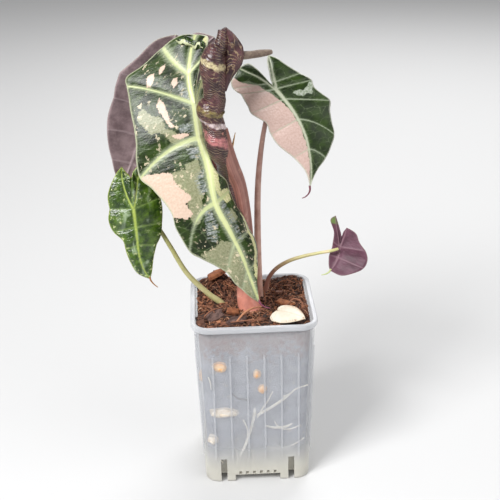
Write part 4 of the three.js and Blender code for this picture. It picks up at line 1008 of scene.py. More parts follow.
def stalk_look(name, low, high, bottom, top, streak=None, flush=(120, 66, 54)):
    """A stalk whose colour changes with height, with fine lines along it."""
    shade = Shade(name)
    place = shade.place()
    above = shade.ramp(shade.axis(place, "Z"), bottom * MM, top * MM)
    colour = shade.over(low, high, above)
    cloud = shade.noise(place, 170.0, 3.0)
    colour = shade.blend(colour, flush, cloud, 0.45, 0.7, 0.0, 0.4)
    colour = shade.blend(colour, (236, 196, 172), cloud, 0.42, 0.3, 0.0, 0.35)
    around = shade.vector("around")
    lines = shade.noise(shade.scaled(around, (3.0, 3.0, 3.0)), 2.0, 3.0)
    fine = shade.noise(shade.scaled(place, (900.0, 900.0, 160.0)), 1.0, 4.0)
    if streak:
        marks = shade.ramp(lines + fine * 0.35, 0.58, 0.82, 0.0, 0.75)
        colour = shade.over(colour, streak, marks * above)
    colour = shade.blend(colour, (70, 40, 34), fine, 0.62, 0.8, 0.0, 0.35)
    shade.set(Base_Color=colour, Roughness=0.4)
    shade.bump(fine, 0.15 * MM)
    return shade.material


def rolled_look(name, lengthwise):
    """The rolled young leaf: burgundy with fine wandering pale lines, and if it has rings, pale bands and
    a painted highlight.
    """
    shade = Shade(name)
    place = shade.place()
    height = shade.axis(place, "Z")
    broad = shade.noise(place, 150.0, 3.0, 0.55)
    middle_noise = shade.noise(place, 420.0, 3.0, 0.6)
    colour = shade.blend((44, 24, 27), (86, 51, 54), broad, 0.35, 0.68)
    colour = shade.blend(colour, (34, 17, 19), middle_noise, 0.5, 0.7, 0.0, 0.65)
    level = height + shade.axis(place, "X") * 0.35
    if lengthwise:
        spin = shade.axis(shade.vector("around"), "Y") * 9.0
    else:
        spin = level * 4200.0
    swirl = shade.noise(shade.scaled(place, (1.0, 1.0, 0.55)), 110.0, 2.0, 0.5, 0.8)
    wander = swirl * 42.0 + middle_noise * 8.0
    rings = shade.math("SINE", spin + wander)
    strong = shade.ramp(shade.noise(place, 260.0, 2.0), 0.36, 0.62, 0.1, 0.8)
    lines = shade.ramp(rings, 0.72, 1.0) * strong
    colour = shade.over(colour, (156, 134, 104), lines)
    bands = () if lengthwise else BANDS_AND_PAINTED_HIGHLIGHT
    for low, high, tint, share in bands:
        ragged = level + (broad - 0.5) * 0.007
        middle = (low + high) / 2 * MM
        reach = (high - low) / 2 * MM
        gap = shade.math("ABSOLUTE", ragged - middle)
        amount = shade.ramp(gap, reach, 0.35 * reach, 0.0, share)
        patchy = shade.ramp(middle_noise, 0.36, 0.6, 0.35, 1.0)
        colour = shade.over(colour, tint, amount * patchy)
    shade.set(Base_Color=colour, Roughness=0.34, Specular_IOR_Level=0.5)
    shade.bump(rings * 0.35 + middle_noise * 2.4, 0.2 * MM)
    return shade.material


def speckled(name, tones, scale, roughness, relief):
    """A matt natural surface in three colours, mottled at one scale in cycles per metre."""
    shade = Shade(name)
    place = shade.place()
    broad = shade.noise(place, scale, 4.0, 0.6)
    fine = shade.noise(place, scale * 3.1, 4.0, 0.65)
    colour = shade.blend(tones[0], tones[1], broad, 0.38, 0.62)
    colour = shade.blend(colour, tones[2], fine, 0.56, 0.7)
    shade.set(Base_Color=colour, Roughness=roughness)
    shade.bump(fine, relief * MM)
    return shade.material


def fibre_look():
    """Coir and bark bits, each with its own tone between near black and orange brown."""
    shade = Shade("mix_bits")
    tone = shade.value("tone")
    colour = shade.blend((40, 24, 18), (120, 76, 56), tone, 0.0, 0.5)
    colour = shade.blend(colour, (178, 120, 86), tone, 0.52, 0.82)
    colour = shade.blend(colour, (214, 172, 140), tone, 0.88, 1.0)
    fine = shade.noise(shade.place(), 1500.0, 4.0)
    colour = shade.blend(colour, (28, 16, 12), fine, 0.55, 0.75, 0.0, 0.5)
    shade.set(Base_Color=colour, Roughness=0.8)
    shade.bump(fine, 0.15 * MM)
    return shade.material


def mix_look():
    """Brown mix on top, and the pale haze of damp plastic over it where the walls press on it, which
    turns pale cream towards the bottom as painted light.
    """
    shade = Shade("mix")
    place = shade.place()
    height = shade.axis(place, "Z")
    broad = shade.noise(place, 420.0, 4.0, 0.6)
    fine = shade.noise(place, 1300.0, 4.0, 0.65)
    brown = shade.blend((34, 19, 14), (78, 45, 33), broad, 0.38, 0.62)
    brown = shade.blend(brown, (118, 74, 52), fine, 0.58, 0.72)
    cloud = shade.noise(place, 70.0, 3.0, 0.6)
    grain = shade.noise(place, 240.0, 4.0, 0.65)
    haze = shade.blend((118, 122, 136), (158, 162, 174), cloud, 0.35, 0.65)
    haze = shade.blend(haze, (196, 186, 168), grain, 0.6, 0.7, 0.0, 0.6)
    haze = shade.blend(haze, (78, 76, 84), grain, 0.4, 0.3, 0.0, 0.5)
    crumbs = height + (grain - 0.5) * 0.05
    haze = shade.blend(haze, (124, 88, 74), crumbs, 78 * MM, 92 * MM, 0.0, 0.85)
    # Painted light: towards the bottom the mix turns pale cream, so that the foot and the slots look lit
    # instead of shaded.
    low = height + (cloud - 0.5) * 0.03
    haze = shade.blend(haze, (198, 194, 182), low, 34 * MM, 8 * MM, 0.0, 0.95)
    flecks = shade.noise(place, 300.0, 3.0, 0.6)
    amount = shade.ramp(flecks, 0.52, 0.6) * shade.ramp(height, 74 * MM, 92 * MM, 0.0, 0.95)
    haze = shade.over(haze, (112, 58, 38), amount)
    level = height + (broad - 0.5) * 0.01
    colour = shade.blend(haze, brown, level, 94 * MM, 97 * MM)
    shade.set(Base_Color=colour, Roughness=0.9)
    shade.bump(fine, 0.8 * MM)
    return shade.material


def pot_look():
    """Thin frosted plastic, clearer on the walls than on the lip."""
    shade = Shade("frosted_plastic")
    place = shade.place()
    height = shade.axis(place, "Z")
    lip = shade.ramp(height, 97.5 * MM, 99.2 * MM, 0.3, 0.62)
    cloud = shade.noise(place, 45.0, 3.0)
    alpha = lip + (cloud - 0.5) * 0.25
    alpha = shade.math("ADD", alpha, shade.ramp(height, 28 * MM, 2 * MM, 0.0, 0.3), clamp=True)
    tint = shade.blend((203, 205, 209), (220, 217, 206), height, 26 * MM, 4 * MM)
    shade.set(Base_Color=tint, Roughness=0.3, Alpha=alpha, Specular_IOR_Level=0.5)
    scuffs = shade.noise(shade.scaled(place, (1.0, 1.0, 0.15)), 900.0, 3.0)
    shade.bump(scuffs, 0.05 * MM)
    return shade.material


def square_ring(half, radius, z, per_corner=13, per_side=0):
    """The points of a rounded square at one height."""
    ring = []
    corners = ((1, 1), (-1, 1), (-1, -1), (1, -1))
    steps = ((-1, 0), (0, -1), (1, 0), (0, 1))
    for corner, (sx, sy) in enumerate(corners):
        for i in range(per_corner):
            angle = math.pi / 2 * (corner + i / (per_corner - 1))
            ring.append((sx * (half - radius) + radius * math.cos(angle),
                         sy * (half - radius) + radius * math.sin(angle), z))
        x, y, _ = ring[-1]
        for i in range(1, per_side + 1):
            along = 2 * (half - radius) * i / (per_side + 1)
            ring.append((x + steps[corner][0] * along, y + steps[corner][1] * along, z))
    return ring


def loft(rings):
    """Points and faces of a closed shape through rings that have the same count of points."""
    return [p for ring in rings for p in ring], ring_faces(len(rings), len(rings[0]))


def box_shape(width, depth, height, x, y, z, turn=0.0, lean=0.0):
    """Points and faces of a box, leaned about X at its middle and then turned about the pot's axis."""
    points = []
    for sz in (-1, 1):
        for sx, sy in ((-1, -1), (1, -1), (1, 1), (-1, 1)):
            px, py, pz = sx * width / 2, sy * depth / 2, sz * height / 2
            py, pz = py * math.cos(lean) - pz * math.sin(lean), py * math.sin(lean) + pz * math.cos(lean)
            px, py, pz = px + x, py + y, pz + z
            points.append((px * math.cos(turn) - py * math.sin(turn),
                           px * math.sin(turn) + py * math.cos(turn), pz))
    faces = [[3, 2, 1, 0], [4, 5, 6, 7], [0, 1, 5, 4], [1, 2, 6, 5], [2, 3, 7, 6], [3, 0, 4, 7]]
    return points, faces, 0.0


def pot_half(z):
    """The pot's outer half width at a height."""
    return POT["baseHalf"] + (POT["topHalf"] - POT["baseHalf"]) * z / (POT["height"] - POT["lipHeight"])


def pot_openings(floor_top):
    """Boxes to cut out of each side's foot: an arch, two slots and a row of drain holes."""
    base = POT["baseHalf"]
    cuts = []
    for turn in QUARTERS:
        cuts.append(box_shape(2 * POT["archHalf"], 8, 2 * POT["archHeight"], 0, -base, 0, turn))
        for side in (-1, 1):
            offset = side * POT["slotOffset"]
            cuts.append(box_shape(POT["slotWidth"], 7, 2 * POT["slotHeight"], offset, -base, 0, turn))
        for offset in POT["drainOffsets"]:
            cuts.append(box_shape(POT["drainWidth"], 8, 2, offset, -base, floor_top + 0.8, turn))
    return cuts


def pot_ribs(lip_foot):
    """The upright ribs of the four walls, leaned as the walls are."""
    size = (POT["ribWidth"], 2 * POT["ribProud"], POT["ribTop"] - POT["ribBottom"])
    middle = (POT["ribTop"] + POT["ribBottom"]) / 2
    out = pot_half(middle)
    lean = math.atan2(POT["topHalf"] - POT["baseHalf"], lip_foot)
    return [
        box_shape(*size, offset * out / POT["topHalf"], -out, middle, turn, lean)
        for turn in QUARTERS
        for offset in POT["ribOffsets"]
    ]


def cut_shape(body, cuts):
    """What the cuts leave of a mesh object, as one (points, faces, tone) shape. The object goes."""
    points, faces, _ = join_shapes(cuts)
    cutter = mesh_object("pot_cutter", points, faces, [], smooth=False)
    cut = body.modifiers.new("openings", "BOOLEAN")
    cut.operation = "DIFFERENCE"
    cut.solver = "EXACT"
    cut.use_self = True
    cut.object = cutter
    bpy.context.view_layer.update()
    left = bpy.data.meshes.new_from_object(body.evaluated_get(bpy.context.evaluated_depsgraph_get()))
    bpy.data.objects.remove(cutter)
    bpy.data.objects.remove(body)
    return [tuple(v.co / MM) for v in left.vertices], [list(p.vertices) for p in left.polygons], 0.0


def make_pot(material):
    """The pot as one mesh: its shell with the openings cut, its middle foot and its ribs."""
    wall, height, lip = POT["wall"], POT["height"], POT["lipHalf"]
    corner = POT["cornerRadius"]
    lip_corner, inner_corner, base_corner = corner + 1.4, corner - wall, corner - 1
    lip_foot = height - POT["lipHeight"]
    floor_top = POT["floorUnderside"] + POT["floorThickness"]
    inner = pot_half(lip_foot) - wall
    rows = [
        (pot_half(0) - wall - 0.6, base_corner - 1.4, POT["floorUnderside"]),
        (pot_half(0) - wall - 0.8, base_corner - 1.4, 0),
        (pot_half(0) - 0.8, base_corner - 0.8, 0),
        (pot_half(0.5) - 0.15, base_corner - 0.2, 0.5),
        (pot_half(1.2), base_corner, 1.2),
        (pot_half(lip_foot), corner, lip_foot),
        (lip - 0.4, lip_corner - 0.4, lip_foot + 0.2),
        (lip - 0.1, lip_corner - 0.1, lip_foot + 0.4),
        (lip, lip_corner, lip_foot + 0.8),
        (lip, lip_corner, height - 0.7),
        (lip - 0.2, lip_corner - 0.2, height - 0.2),
        (lip - 0.6, lip_corner - 0.6, height),
        (inner + 0.4, inner_corner, height),
        (inner + 0.08, inner_corner, height - 0.25),
        (inner, inner_corner, height - 0.6),
        (pot_half(floor_top) - wall, base_corner - wall, floor_top),
    ]
    points, faces = loft([square_ring(*row) for row in rows])
    shell = mesh_object("pot_shell", points, faces, [material])
    foot_wide, foot_high = 2 * POT["centreFootHalf"], POT["floorUnderside"] + 0.4
    foot = box_shape(foot_wide, foot_wide, foot_high, 0, 0, foot_high / 2)
    shapes = [cut_shape(shell, pot_openings(floor_top)), foot] + pot_ribs(lip_foot)
    return shapes_object("pot_body", shapes, material, smooth=False)


def mix_height(x, y):
    """The height of the mix's surface, heaps and crumbs together."""
    heaps = 0.0
    for heap in MIX["heaps"]:
        away = math.hypot(x - heap["at"][0], y - heap["at"][1]) / heap["spread"]
        heaps += heap["height"] * math.exp(-(away ** 2))
    small = math.sin(1.3 * x + 0.7 * y) * math.sin(1.1 * y - 0.5 * x)
    crumbs = small + 0.6 * math.sin(2.3 * x - 1.9 * y + 1)
    return MIX["level"] + heaps + 0.6 * MIX["crumb"] * crumbs


def make_mix(material):
    """The potting mix as one block, rough on top."""
    floor = POT["floorUnderside"] + POT["floorThickness"] + GAP
    radius = POT["cornerRadius"] - POT["wall"] - GAP

    def inside(z):
        return pot_half(z) - POT["wall"] - GAP - MIX_DRAWN_IN

    rings = [square_ring(inside(floor), radius - 1, floor, 9, 9)]
    rings += [square_ring(inside(z), radius, z, 9, 9) for z in (36, 68, 90)]
    layers = 34
    for i in range(layers):
        scale = 1 - i / layers
        ring = []
        for x, y, _ in square_ring(inside(MIX["level"] - 3), radius, 0, 9, 9):
            x, y = x * scale, y * scale
            broad = noise.noise(Vector((x, y, 0)) * 0.55) * 1.3
            rough = broad + noise.noise(Vector((x, y, 5)) * 1.6) * 0.5
            ring.append((x, y, mix_height(x, y) + rough * min(1, 2.5 * i / layers) - 0.5))
        rings.append(ring)
    points, faces = loft(rings)
    return mesh_object("mix_block", points, faces, [material])


def keeps_clear(x, y):
    """True where bits may lie: inside the pot, off the larger chips and off the fallen leaf."""
    half, corner_from, corner_reach = 30.6, 25, 5.5
    if max(abs(x), abs(y)) > half:
        return False
    if math.hypot(max(abs(x) - corner_from, 0), max(abs(y) - corner_from, 0)) > corner_reach:
        return False
    for chip_x, chip_y, _, length, width, *_ in CHIPS[:4]:
        if math.hypot((x - chip_x) / (0.45 * length), (y - chip_y) / (0.45 * width)) < 1:
            return False
    leaf_x, leaf_y, leaf_wide, leaf_deep = 20.5, -23, 9.5, 8
    return math.hypot((x - leaf_x) / leaf_wide, (y - leaf_y) / leaf_deep) > 1


def fibre_rows(draw, x, y):
    """One bowed fibre through a place on the mix."""
    z = mix_height(x, y)
    heading = draw.uniform(0, 2 * math.pi)
    length = draw.choice((4, 6, 8, 11)) * draw.uniform(0.7, 1.2)
    bow = draw.uniform(-0.35, 0.35) * length
    radius = draw.uniform(0.11, 0.28)
    rows = []
    for k in range(5):
        u = k / 4 - 0.5
        px = x + u * length * math.cos(heading) - bow * (0.25 - u * u) * math.sin(heading)
        py = y + u * length * math.sin(heading) + bow * (0.25 - u * u) * math.cos(heading)
        px, py = max(-BITS_HALF, min(BITS_HALF, px)), max(-BITS_HALF, min(BITS_HALF, py))
        rise = draw.uniform(-0.3, 0.7) + 0.25
        rows.append([px, py, min(mix_height(px, py), z + 2.5) + rise, radius * (1 - 0.7 * abs(u))])
    return rows


def crumb_shape(draw, x, y, size):
    """One uneven crumb of bark, turned at random."""
    length, width = size * draw.uniform(0.8, 1.6), size * draw.uniform(0.5, 1)
    points, faces, _ = box_shape(length, width, size * 0.45, 0, 0, 0)
    spin = Matrix.Identity(3)
    for least, most, axis in ((0, 6.28, "Z"), (-0.7, 0.7, "X"), (-0.5, 0.5, "Y")):
        spin = spin @ Matrix.Rotation(draw.uniform(least, most), 3, axis)
    centre = Vector((x, y, mix_height(x, y) + draw.uniform(-0.3, 0.5)))
    moved = []
    for p in points:
        q = spin @ Vector(p)
        q *= 1 + 0.25 * noise.noise(Vector((x + q.x, y + q.y, q.z)) * 1.3)
        moved.append(tuple(centre + q))
    return moved, faces, 0.75 * draw.random()


def make_bits(material):
    """Coir fibres and bark crumbs, laid over the mix by a seeded rule and sunk into it."""
    draw = random.Random(11)
    fibres, crumbs, small_crumbs = 1500, 700, 669
    shapes = []
    while len(shapes) < fibres + crumbs:
        x, y = draw.uniform(-BITS_HALF, BITS_HALF), draw.uniform(-BITS_HALF, BITS_HALF)
        if not keeps_clear(x, y):
            continue
        if len(shapes) < fibres:
            shapes.append(tube_shape(fibre_rows(draw, x, y), 4, 7, draw.random() ** 1.2))
            continue
        is_small = len(shapes) < fibres + small_crumbs
        size = draw.uniform(0.7, 2.4) if is_small else draw.uniform(2.6, 4.4)
        shapes.append(crumb_shape(draw, x, y, size))
    return shapes_object("mix_fibres", shapes, material, smooth=False)


def lump(place, radius, stretch, seed):
    """Points and faces of one rounded grain, drawn out along the wall that it lies at."""
    rings, sides = 12, 18
    x, y, z = place
    wide, deep = (1, stretch) if abs(x) > abs(y) else (stretch, 1)
    points = []
    for i in range(1, rings):
        tilt = math.pi * i / rings
        out = math.sin(tilt)
        for j in range(sides):
            turn = 2 * math.pi * j / sides
            way = Vector((out * math.cos(turn), out * math.sin(turn), -math.cos(tilt)))
            bulge = 0.2 * noise.noise(way * 1.4 + Vector((seed, 0, 0)))
            dents = 0.07 * noise.noise(way * 4 + Vector((0, seed, 0)))
            way *= radius * (1 + bulge + dents)
            points.append((x + way.x * wide, y + way.y * deep, z + way.z))
    return points, ring_faces(rings - 1, sides)


def bark_shape(row, seed):
    """Points and faces of one bark flake with a split end."""
    x, y, z, length, width, thickness, turn, tilt, roll = row
    rim = [(-1, -0.7), (-0.4, -0.9), (0.2, -1), (0.9, -0.8), (0.75, -0.1),
           (1, 0.5), (0.3, 1), (-0.2, 0.85), (-0.7, 0.85), (-0.85, 0.1)]
    spin = Matrix.Identity(3)
    for angle, axis in ((turn, "Z"), (tilt, "Y"), (roll, "X")):
        spin = spin @ Matrix.Rotation(math.radians(angle), 3, axis)
    rings = []
    for level, shrink in ((-1, 0.86), (-0.6, 1), (0.5, 1), (1, 0.8)):
        ring = []
        for px, py in rim:
            p = Vector((px * length / 2 * shrink, py * width / 2 * shrink, level * thickness / 2))
            p *= 1 + 0.1 * noise.noise(p * 0.7 + Vector((seed, 0, 0)))
            ring.append(tuple(spin @ p + Vector((x, y, z))))
        rings.append(ring)
    return loft(rings)


# Pale bands round the rolled leaf, as (lowest and highest height, colour, how much it covers). The
# whitish band from 203.5 to 206.5 mm is a painted highlight.
BANDS_AND_PAINTED_HIGHLIGHT = (
    (234.5, 238.6, (208, 194, 150), 0.8),
    (208.5, 213.5, (150, 136, 70), 0.55),
    # A painted highlight, where the glossy roll catches the light.
    (203.5, 206.5, (232, 214, 214), 0.7),
    (193.5, 200.5, (192, 120, 120), 0.8),
    (170.0, 191.5, (72, 58, 40), 0.75),
)

# The upper sides of the blades. Colours are from 0 to 255, and a share is how much of a layer shows.
FRONT_TOP = {
    "dark": (16, 28, 4), "light": (42, 62, 10), "mottle": 0.1, "fade": 54.0,
    "olive": (150, 150, 120), "olive_shade": (124, 126, 94), "olive_share": 0.95,
    "pink": (212, 190, 172), "pink_shade": (200, 174, 154),
    "cream": (214, 204, 164), "cream_shade": (172, 178, 118),
    "silver": (116, 124, 122), "silver_shade": (172, 176, 172), "silver_share": 0.8,
    "halo": (154, 163, 134), "halo_reach": 2.2, "halo_share": 0.8,
    "vein": (184, 192, 140), "rib": (198, 204, 148), "core": (220, 225, 184),
    "speckle": (194, 182, 154), "speckle_cut": (0.58, 0.6), "speckle_scale": 0.38,
    "small_vein": (120, 136, 98), "net_share": 0.4, "net_scale": 0.16,
    "margin": (186, 190, 160), "margin_reach": 1.5, "ragged": 2.6, "roughness": 0.32,
    "shine": 0.3, "relief": 0.28, "tip": (142, 76, 100),
}
RIGHT_TOP = {
    "dark": (20, 34, 5), "light": (42, 62, 13), "shine": 0.32, "relief": 0.3,
    "olive": (118, 126, 106), "olive_shade": (92, 104, 78), "olive_share": 0.8,
    "pink": (190, 166, 157), "pink_shade": (176, 150, 140),
    "cream": (166, 172, 160), "cream_shade": (112, 124, 100),
    "vein": (158, 166, 144), "rib": (172, 176, 154), "vein_share": 0.75,
    "halo": (96, 112, 78), "halo_reach": 0.9, "halo_share": 0.6,
    "small_vein": (104, 118, 86), "net_share": 0.35, "net_scale": 0.3,
    "margin": (186, 188, 172), "margin_reach": 1.1, "ragged": 2.0, "roughness": 0.36,
    "tip": (112, 62, 74),
}
SMALL_LEFT_TOP = {
    "dark": (30, 54, 5), "light": (76, 104, 22), "mottle": 0.16,
    # The sheen is a painted highlight near the midrib.
    "sheen": (176, 192, 164), "sheen_reach": 11.0, "sheen_share": 0.7,
    "speckle": (190, 196, 140), "speckle_cut": (0.56, 0.6), "speckle_scale": 0.55,
    "speckle_rim": 3.0, "speckle_where": (0.52, 0.66),
    "halo": (120, 148, 84), "halo_reach": 0.8, "halo_share": 0.25,
    "vein": (126, 150, 70), "rib": (160, 176, 82), "vein_share": 0.5,
    "margin": (146, 160, 74), "margin_reach": 0.7, "roughness": 0.22, "shine": 0.6, "relief": 0.9,
    "tip": (150, 104, 58),
}
PLAIN_TOP = {
    "dark": (28, 46, 18), "light": (54, 76, 30), "olive": (96, 118, 62),
    "vein": (150, 164, 104), "rib": (180, 190, 130),
    "margin": (160, 160, 120), "margin_reach": 0.8,
}
FALLEN_TOP = {
    "dark": (208, 198, 180), "light": (222, 214, 200), "olive": (206, 188, 164),
    "olive_share": 0.8, "vein": (196, 184, 162), "rib": (192, 180, 156),
    "speckle": (150, 106, 74), "speckle_cut": (0.55, 0.6), "speckle_scale": 0.9,
    "speckle_where": (0.6, 0.9), "speckle_rim": 1.8,
    "margin": (198, 178, 148), "margin_reach": 0.6, "margin_share": 0.5,
    "roughness": 0.5, "relief": 0.3,
}

# Matt surfaces: three tones, the mottling in cycles per metre, the roughness and the relief.
MATT = {
    "root": (((250, 246, 236), (232, 224, 206), (214, 202, 178)), 300.0, 0.6, 0.1),
    "dark_shred": (((40, 36, 42), (60, 56, 62), (30, 26, 30)), 500.0, 0.9, 0.2),
    "pumice": (((222, 166, 110), (234, 200, 156), (184, 124, 78)), 500.0, 0.9, 0.4),
    "pale_pumice": (((232, 222, 208), (214, 198, 176), (196, 168, 138)), 400.0, 0.9, 0.4),
    "bark": (((74, 54, 50), (110, 84, 76), (44, 29, 25)), 330.0, 0.85, 0.5),
    "red_bark": (((130, 76, 48), (156, 98, 62), (84, 46, 30)), 330.0, 0.85, 0.5),
    "dry_point": (((172, 134, 78), (196, 160, 104), (136, 96, 56)), 600.0, 0.7, 0.1),
    "dry_tip": (((128, 112, 98), (104, 86, 76), (146, 130, 110)), 600.0, 0.7, 0.3),
}
matt = {surface: speckled(surface, *row) for surface, row in MATT.items()}

LOOKS = {
    "front_leaf": FRONT_TOP, "back_leaf": PLAIN_TOP, "right_leaf": RIGHT_TOP,
    "small_left_leaf": SMALL_LEFT_TOP, "small_right_leaf": PLAIN_TOP, "fallen_leaf": FALLEN_TOP,
}
TOPS = {
    leaf_name: blade_top(leaf_name + "_upper", look, LEAVES[leaf_name]["spine"][-1])
    for leaf_name, look in LOOKS.items()
}
PURPLE = ((112, 92, 98), (88, 72, 76), (144, 126, 130))
UNDERS = {
    "front_leaf": blade_under("front_blade_under", *PURPLE),
    "back_leaf": blade_under("back_blade", (146, 126, 128), (108, 90, 92), (164, 146, 148)),
    "right_leaf": blade_under("right_blade_under", *PURPLE),
    "small_left_leaf": blade_under(
        "small_left_blade_under", (120, 126, 84), (104, 104, 76), (160, 166, 110)
    ),
    "small_right_leaf": blade_under(
        "small_right_blade_under", (100, 62, 78), (76, 46, 58), (132, 100, 110), green_tip=(96, 118, 62)
    ),
    "fallen_leaf": blade_under("fallen_blade_under", (226, 214, 190), (208, 190, 160), (226, 214, 196)),
}

# Steps from row to row of the flat blade, and steps from the midrib to the margin.
FINENESS = {
    "front_leaf": (7, 34), "back_leaf": (8, 18), "right_leaf": (8, 22),
    "small_left_leaf": (9, 18), "small_right_leaf": (8, 12), "fallen_leaf": (10, 14),
}

for blade_name, leaf in LEAVES.items():
    blade = make_blade(blade_name, leaf, [TOPS[blade_name], UNDERS[blade_name]], *FINENESS[blade_name])
    declare(blade, blade_name.replace("leaf", "blade"), blade_name)

# The rim of the front blade's upper lobe, which curls over, as [x, y, radius] on the flat blade, and
# how far it stands out from the blade.
CURLED_RIM = [
    (-24, -33.2, 0.7), (-20, -31.8, 1.8), (-15.5, -30.8, 2.6), (-11, -29, 1.8), (-7.6, -27.4, 2),
    (-4, -26.8, 2.2), (-1.6, -25.4, 1),
]
CURLED_RIM_LIFT = 1.7


def rim_look():
    """Dark glossy green with lighter green flecks as painted highlights, and pale lips along both sides
    of the curl.
    """
    shade = Shade("curled_rim")
    place = shade.place()
    turn = shade.axis(shade.vector("around"), "X")
    fine = shade.noise(place, 700.0, 3.0)
    # Painted highlight: lighter green flecks on the glossy roll.
    colour = shade.blend((20, 34, 8), (62, 84, 32), fine, 0.4, 0.62)
    lips = shade.math("ABSOLUTE", turn) + fine * 0.3
    colour = shade.blend(colour, (196, 200, 160), lips, 0.92, 1.06, 0.0, 0.95)
    shade.set(Base_Color=colour, Roughness=0.25)
    shade.bump(fine, 0.3 * MM)
    return shade.material


def rippled(t, angle, travelled):
    """The curled rim's uneven round."""
    return 1 + 0.12 * math.sin(3 * angle + travelled * 0.7)


front_shape = blade_shape(LEAVES["front_leaf"])
rim_rows = []
for x, y, radius in CURLED_RIM:
    spot = front_shape(x, y, -1)
    beside = front_shape(x + 0.5, y, -1) - spot
    below = front_shape(x, y + 0.5, -1) - spot
    out = beside.cross(below).normalized()
    if out.y > 0:
        out = -out
    rim_rows.append([*(spot + out * CURLED_RIM_LIFT), radius])
declare(tube_object("curled_rim", rim_rows, rim_look(), 28, 90, rippled), "front_blade")

pot = make_pot(pot_look())
declare(pot, "pot_plastic", "pot")

declare(make_mix(mix_look()), "mix", "potting_mix")
declare(make_bits(fibre_look()), "mix")

corm_x, corm_y = CORM["at"]
turns = [2 * math.pi * k / 24 for k in range(24)]
corm_rings = [
    [(corm_x + reach * math.cos(turn), corm_y + reach * math.sin(turn), z) for turn in turns]
    for reach, z in CORM["profile"][1:-1]
]
root_shapes = [tube_shape(rows, 10, 60) for rows in FRONT_ROOTS] + [(*loft(corm_rings), 0.0)]
declare(shapes_object("corm_and_root_tubes", root_shapes, matt["root"]), "root", "corm_and_roots")

# Thin roots that press on the front wall, as [x, z, radius].
HAIR_ROOTS = [
    [[0.4, 42, 0.5], [4, 49, 0.45], [6, 52, 0.4], [9.3, 59, 0.3]],
    [[15, 55.4, 0.45], [19, 57, 0.42], [22, 59.8, 0.4], [29, 62.5, 0.25]],
    [[5.6, 21.5, 0.45], [10, 20.4, 0.42], [16, 20.4, 0.4], [23.3, 24, 0.35], [27, 27, 0.25]],
    [[-3, 20, 0.45], [-2.4, 15, 0.42], [-2.6, 11, 0.4], [-1, 7, 0.3]],
    [[-7.7, 41, 0.5], [-5.5, 34.5, 0.45], [-5.4, 29, 0.4], [-6.4, 24, 0.3]],
    [[-26.4, 70, 0.35], [-25.4, 66, 0.4], [-25.2, 62, 0.25]],
    [[-13, 22, 0.35], [-11.4, 16, 0.4], [-12, 9, 0.25]],
    [[10, 39, 0.3], [12, 35.6, 0.35], [14.6, 33.6, 0.4], [20, 33.6, 0.35], [25, 36, 0.2]],
    [[-24, 24, 0.3], [-23.4, 17, 0.35], [-20, 12, 0.25]],
]
DARK_SHRED = [[-13.4, 58.8, 0.25], [-10, 55.2, 0.7], [-6, 54.4, 0.8], [-3.6, 53.6, 0.3]]


def on_front_wall(rows):
    """Rows of x, z and radius laid against the inside of the front wall."""
    stand = POT["wall"] + GAP + 0.35
    return [[x, -(pot_half(z) - stand - radius), z, radius] for x, z, radius in rows]


hair_shapes = [tube_shape(on_front_wall(rows), 8, 40) for rows in HAIR_ROOTS]
declare(shapes_object("hair_roots", hair_shapes, matt["root"]), "root")
declare(tube_object("dark_shred", on_front_wall(DARK_SHRED), matt["dark_shred"], 12, 30), "mix")

for number, (x, y, z, radius, stretch) in enumerate(PUMICE):
    points, faces = lump((x, y, z), radius, stretch, number)
    look = matt["pale_pumice" if number in PALE_GRAINS else "pumice"]
    declare(mesh_object(f"grain_{number + 1}", points, faces, [look]), "pumice", f"pumice_{number + 1}")

for number, row in enumerate(CHIPS):
    points, faces = bark_shape(row, number)
    look = matt["red_bark" if number in RED_CHIPS else "bark"]
    flake = mesh_object(f"flake_{number + 1}", points, faces, [look], smooth=False)
    declare(flake, "bark", f"bark_chip_{number + 1}")


def winged(t, angle, travelled):
    """The sheath's wings, which grow out of its round foot."""
    wings = 0.09 * math.cos(5 * angle) + 0.015 * math.sin(9 * angle + 3 * t)
    return 1 + wings * min(1, max(0, 6 * t - 0.9))


def rolled(t, angle, travelled):
    """The rolled leaf's uneven round, with the sunken seam of its outer edge."""
    seam = 0.05 * math.exp(-((angle - 5.2 - 0.6 * t) / 0.22) ** 2)
    return 1 + 0.008 * math.sin(travelled * 2.6 + 2 * angle) - seam


# Loose fibres over the mix, as [x, y, z, radius]. The first is the palest.
LOOSE_FIBRES = [
    [[-9.6, -27.6, 102.6, 0.56], [-5.4, -21.4, 104.4, 0.63], [-1.2, -17.4, 105, 0.56],
     [5, -11.2, 103, 0.35]],
    [[7.6, -3.6, 102, 0.31], [7.2, -3, 107, 0.28], [6.2, -3.4, 111.4, 0.17]],
    [[19.4, -8.9, 102.6, 0.42], [23.6, -6.6, 104.8, 0.49], [27, -9.6, 104.4, 0.42],
     [28.4, -13.4, 102.8, 0.28]],
    [[-27.4, -21, 103, 0.42], [-24, -17, 104.2, 0.42], [-16.4, -9.4, 103, 0.28]],
    [[-30, -6, 102.6, 0.28], [-25, -10.6, 104, 0.35], [-21.6, -17, 103.4, 0.28]],
    [[13, 12, 104, 0.28], [19.4, 15, 106.6, 0.35], [25.4, 12.4, 106, 0.28]],
    [[-13, -27.8, 102.4, 0.28], [-4, -28.6, 103.6, 0.35], [4, -26.4, 102.6, 0.28]],
]
fibre_tones = [0.9] + [0.62] * (len(LOOSE_FIBRES) - 1)
fibre_shapes = [tube_shape(rows, 8, 26, tone) for rows, tone in zip(LOOSE_FIBRES, fibre_tones)]
declare(shapes_object("loose_fibres", fibre_shapes, fibre_look()), "mix")

# The dry point at the sheath's mouth, as [x, y, z, radius].
DRY_POINT = [[-9.6, -6, 190, 0.5], [-8.4, -6.4, 197.4, 0.5], [-7, -6, 203.4, 0.2]]
declare(tube_object("dry_point", DRY_POINT, matt["dry_point"], 10, 24), "pink_stalk")

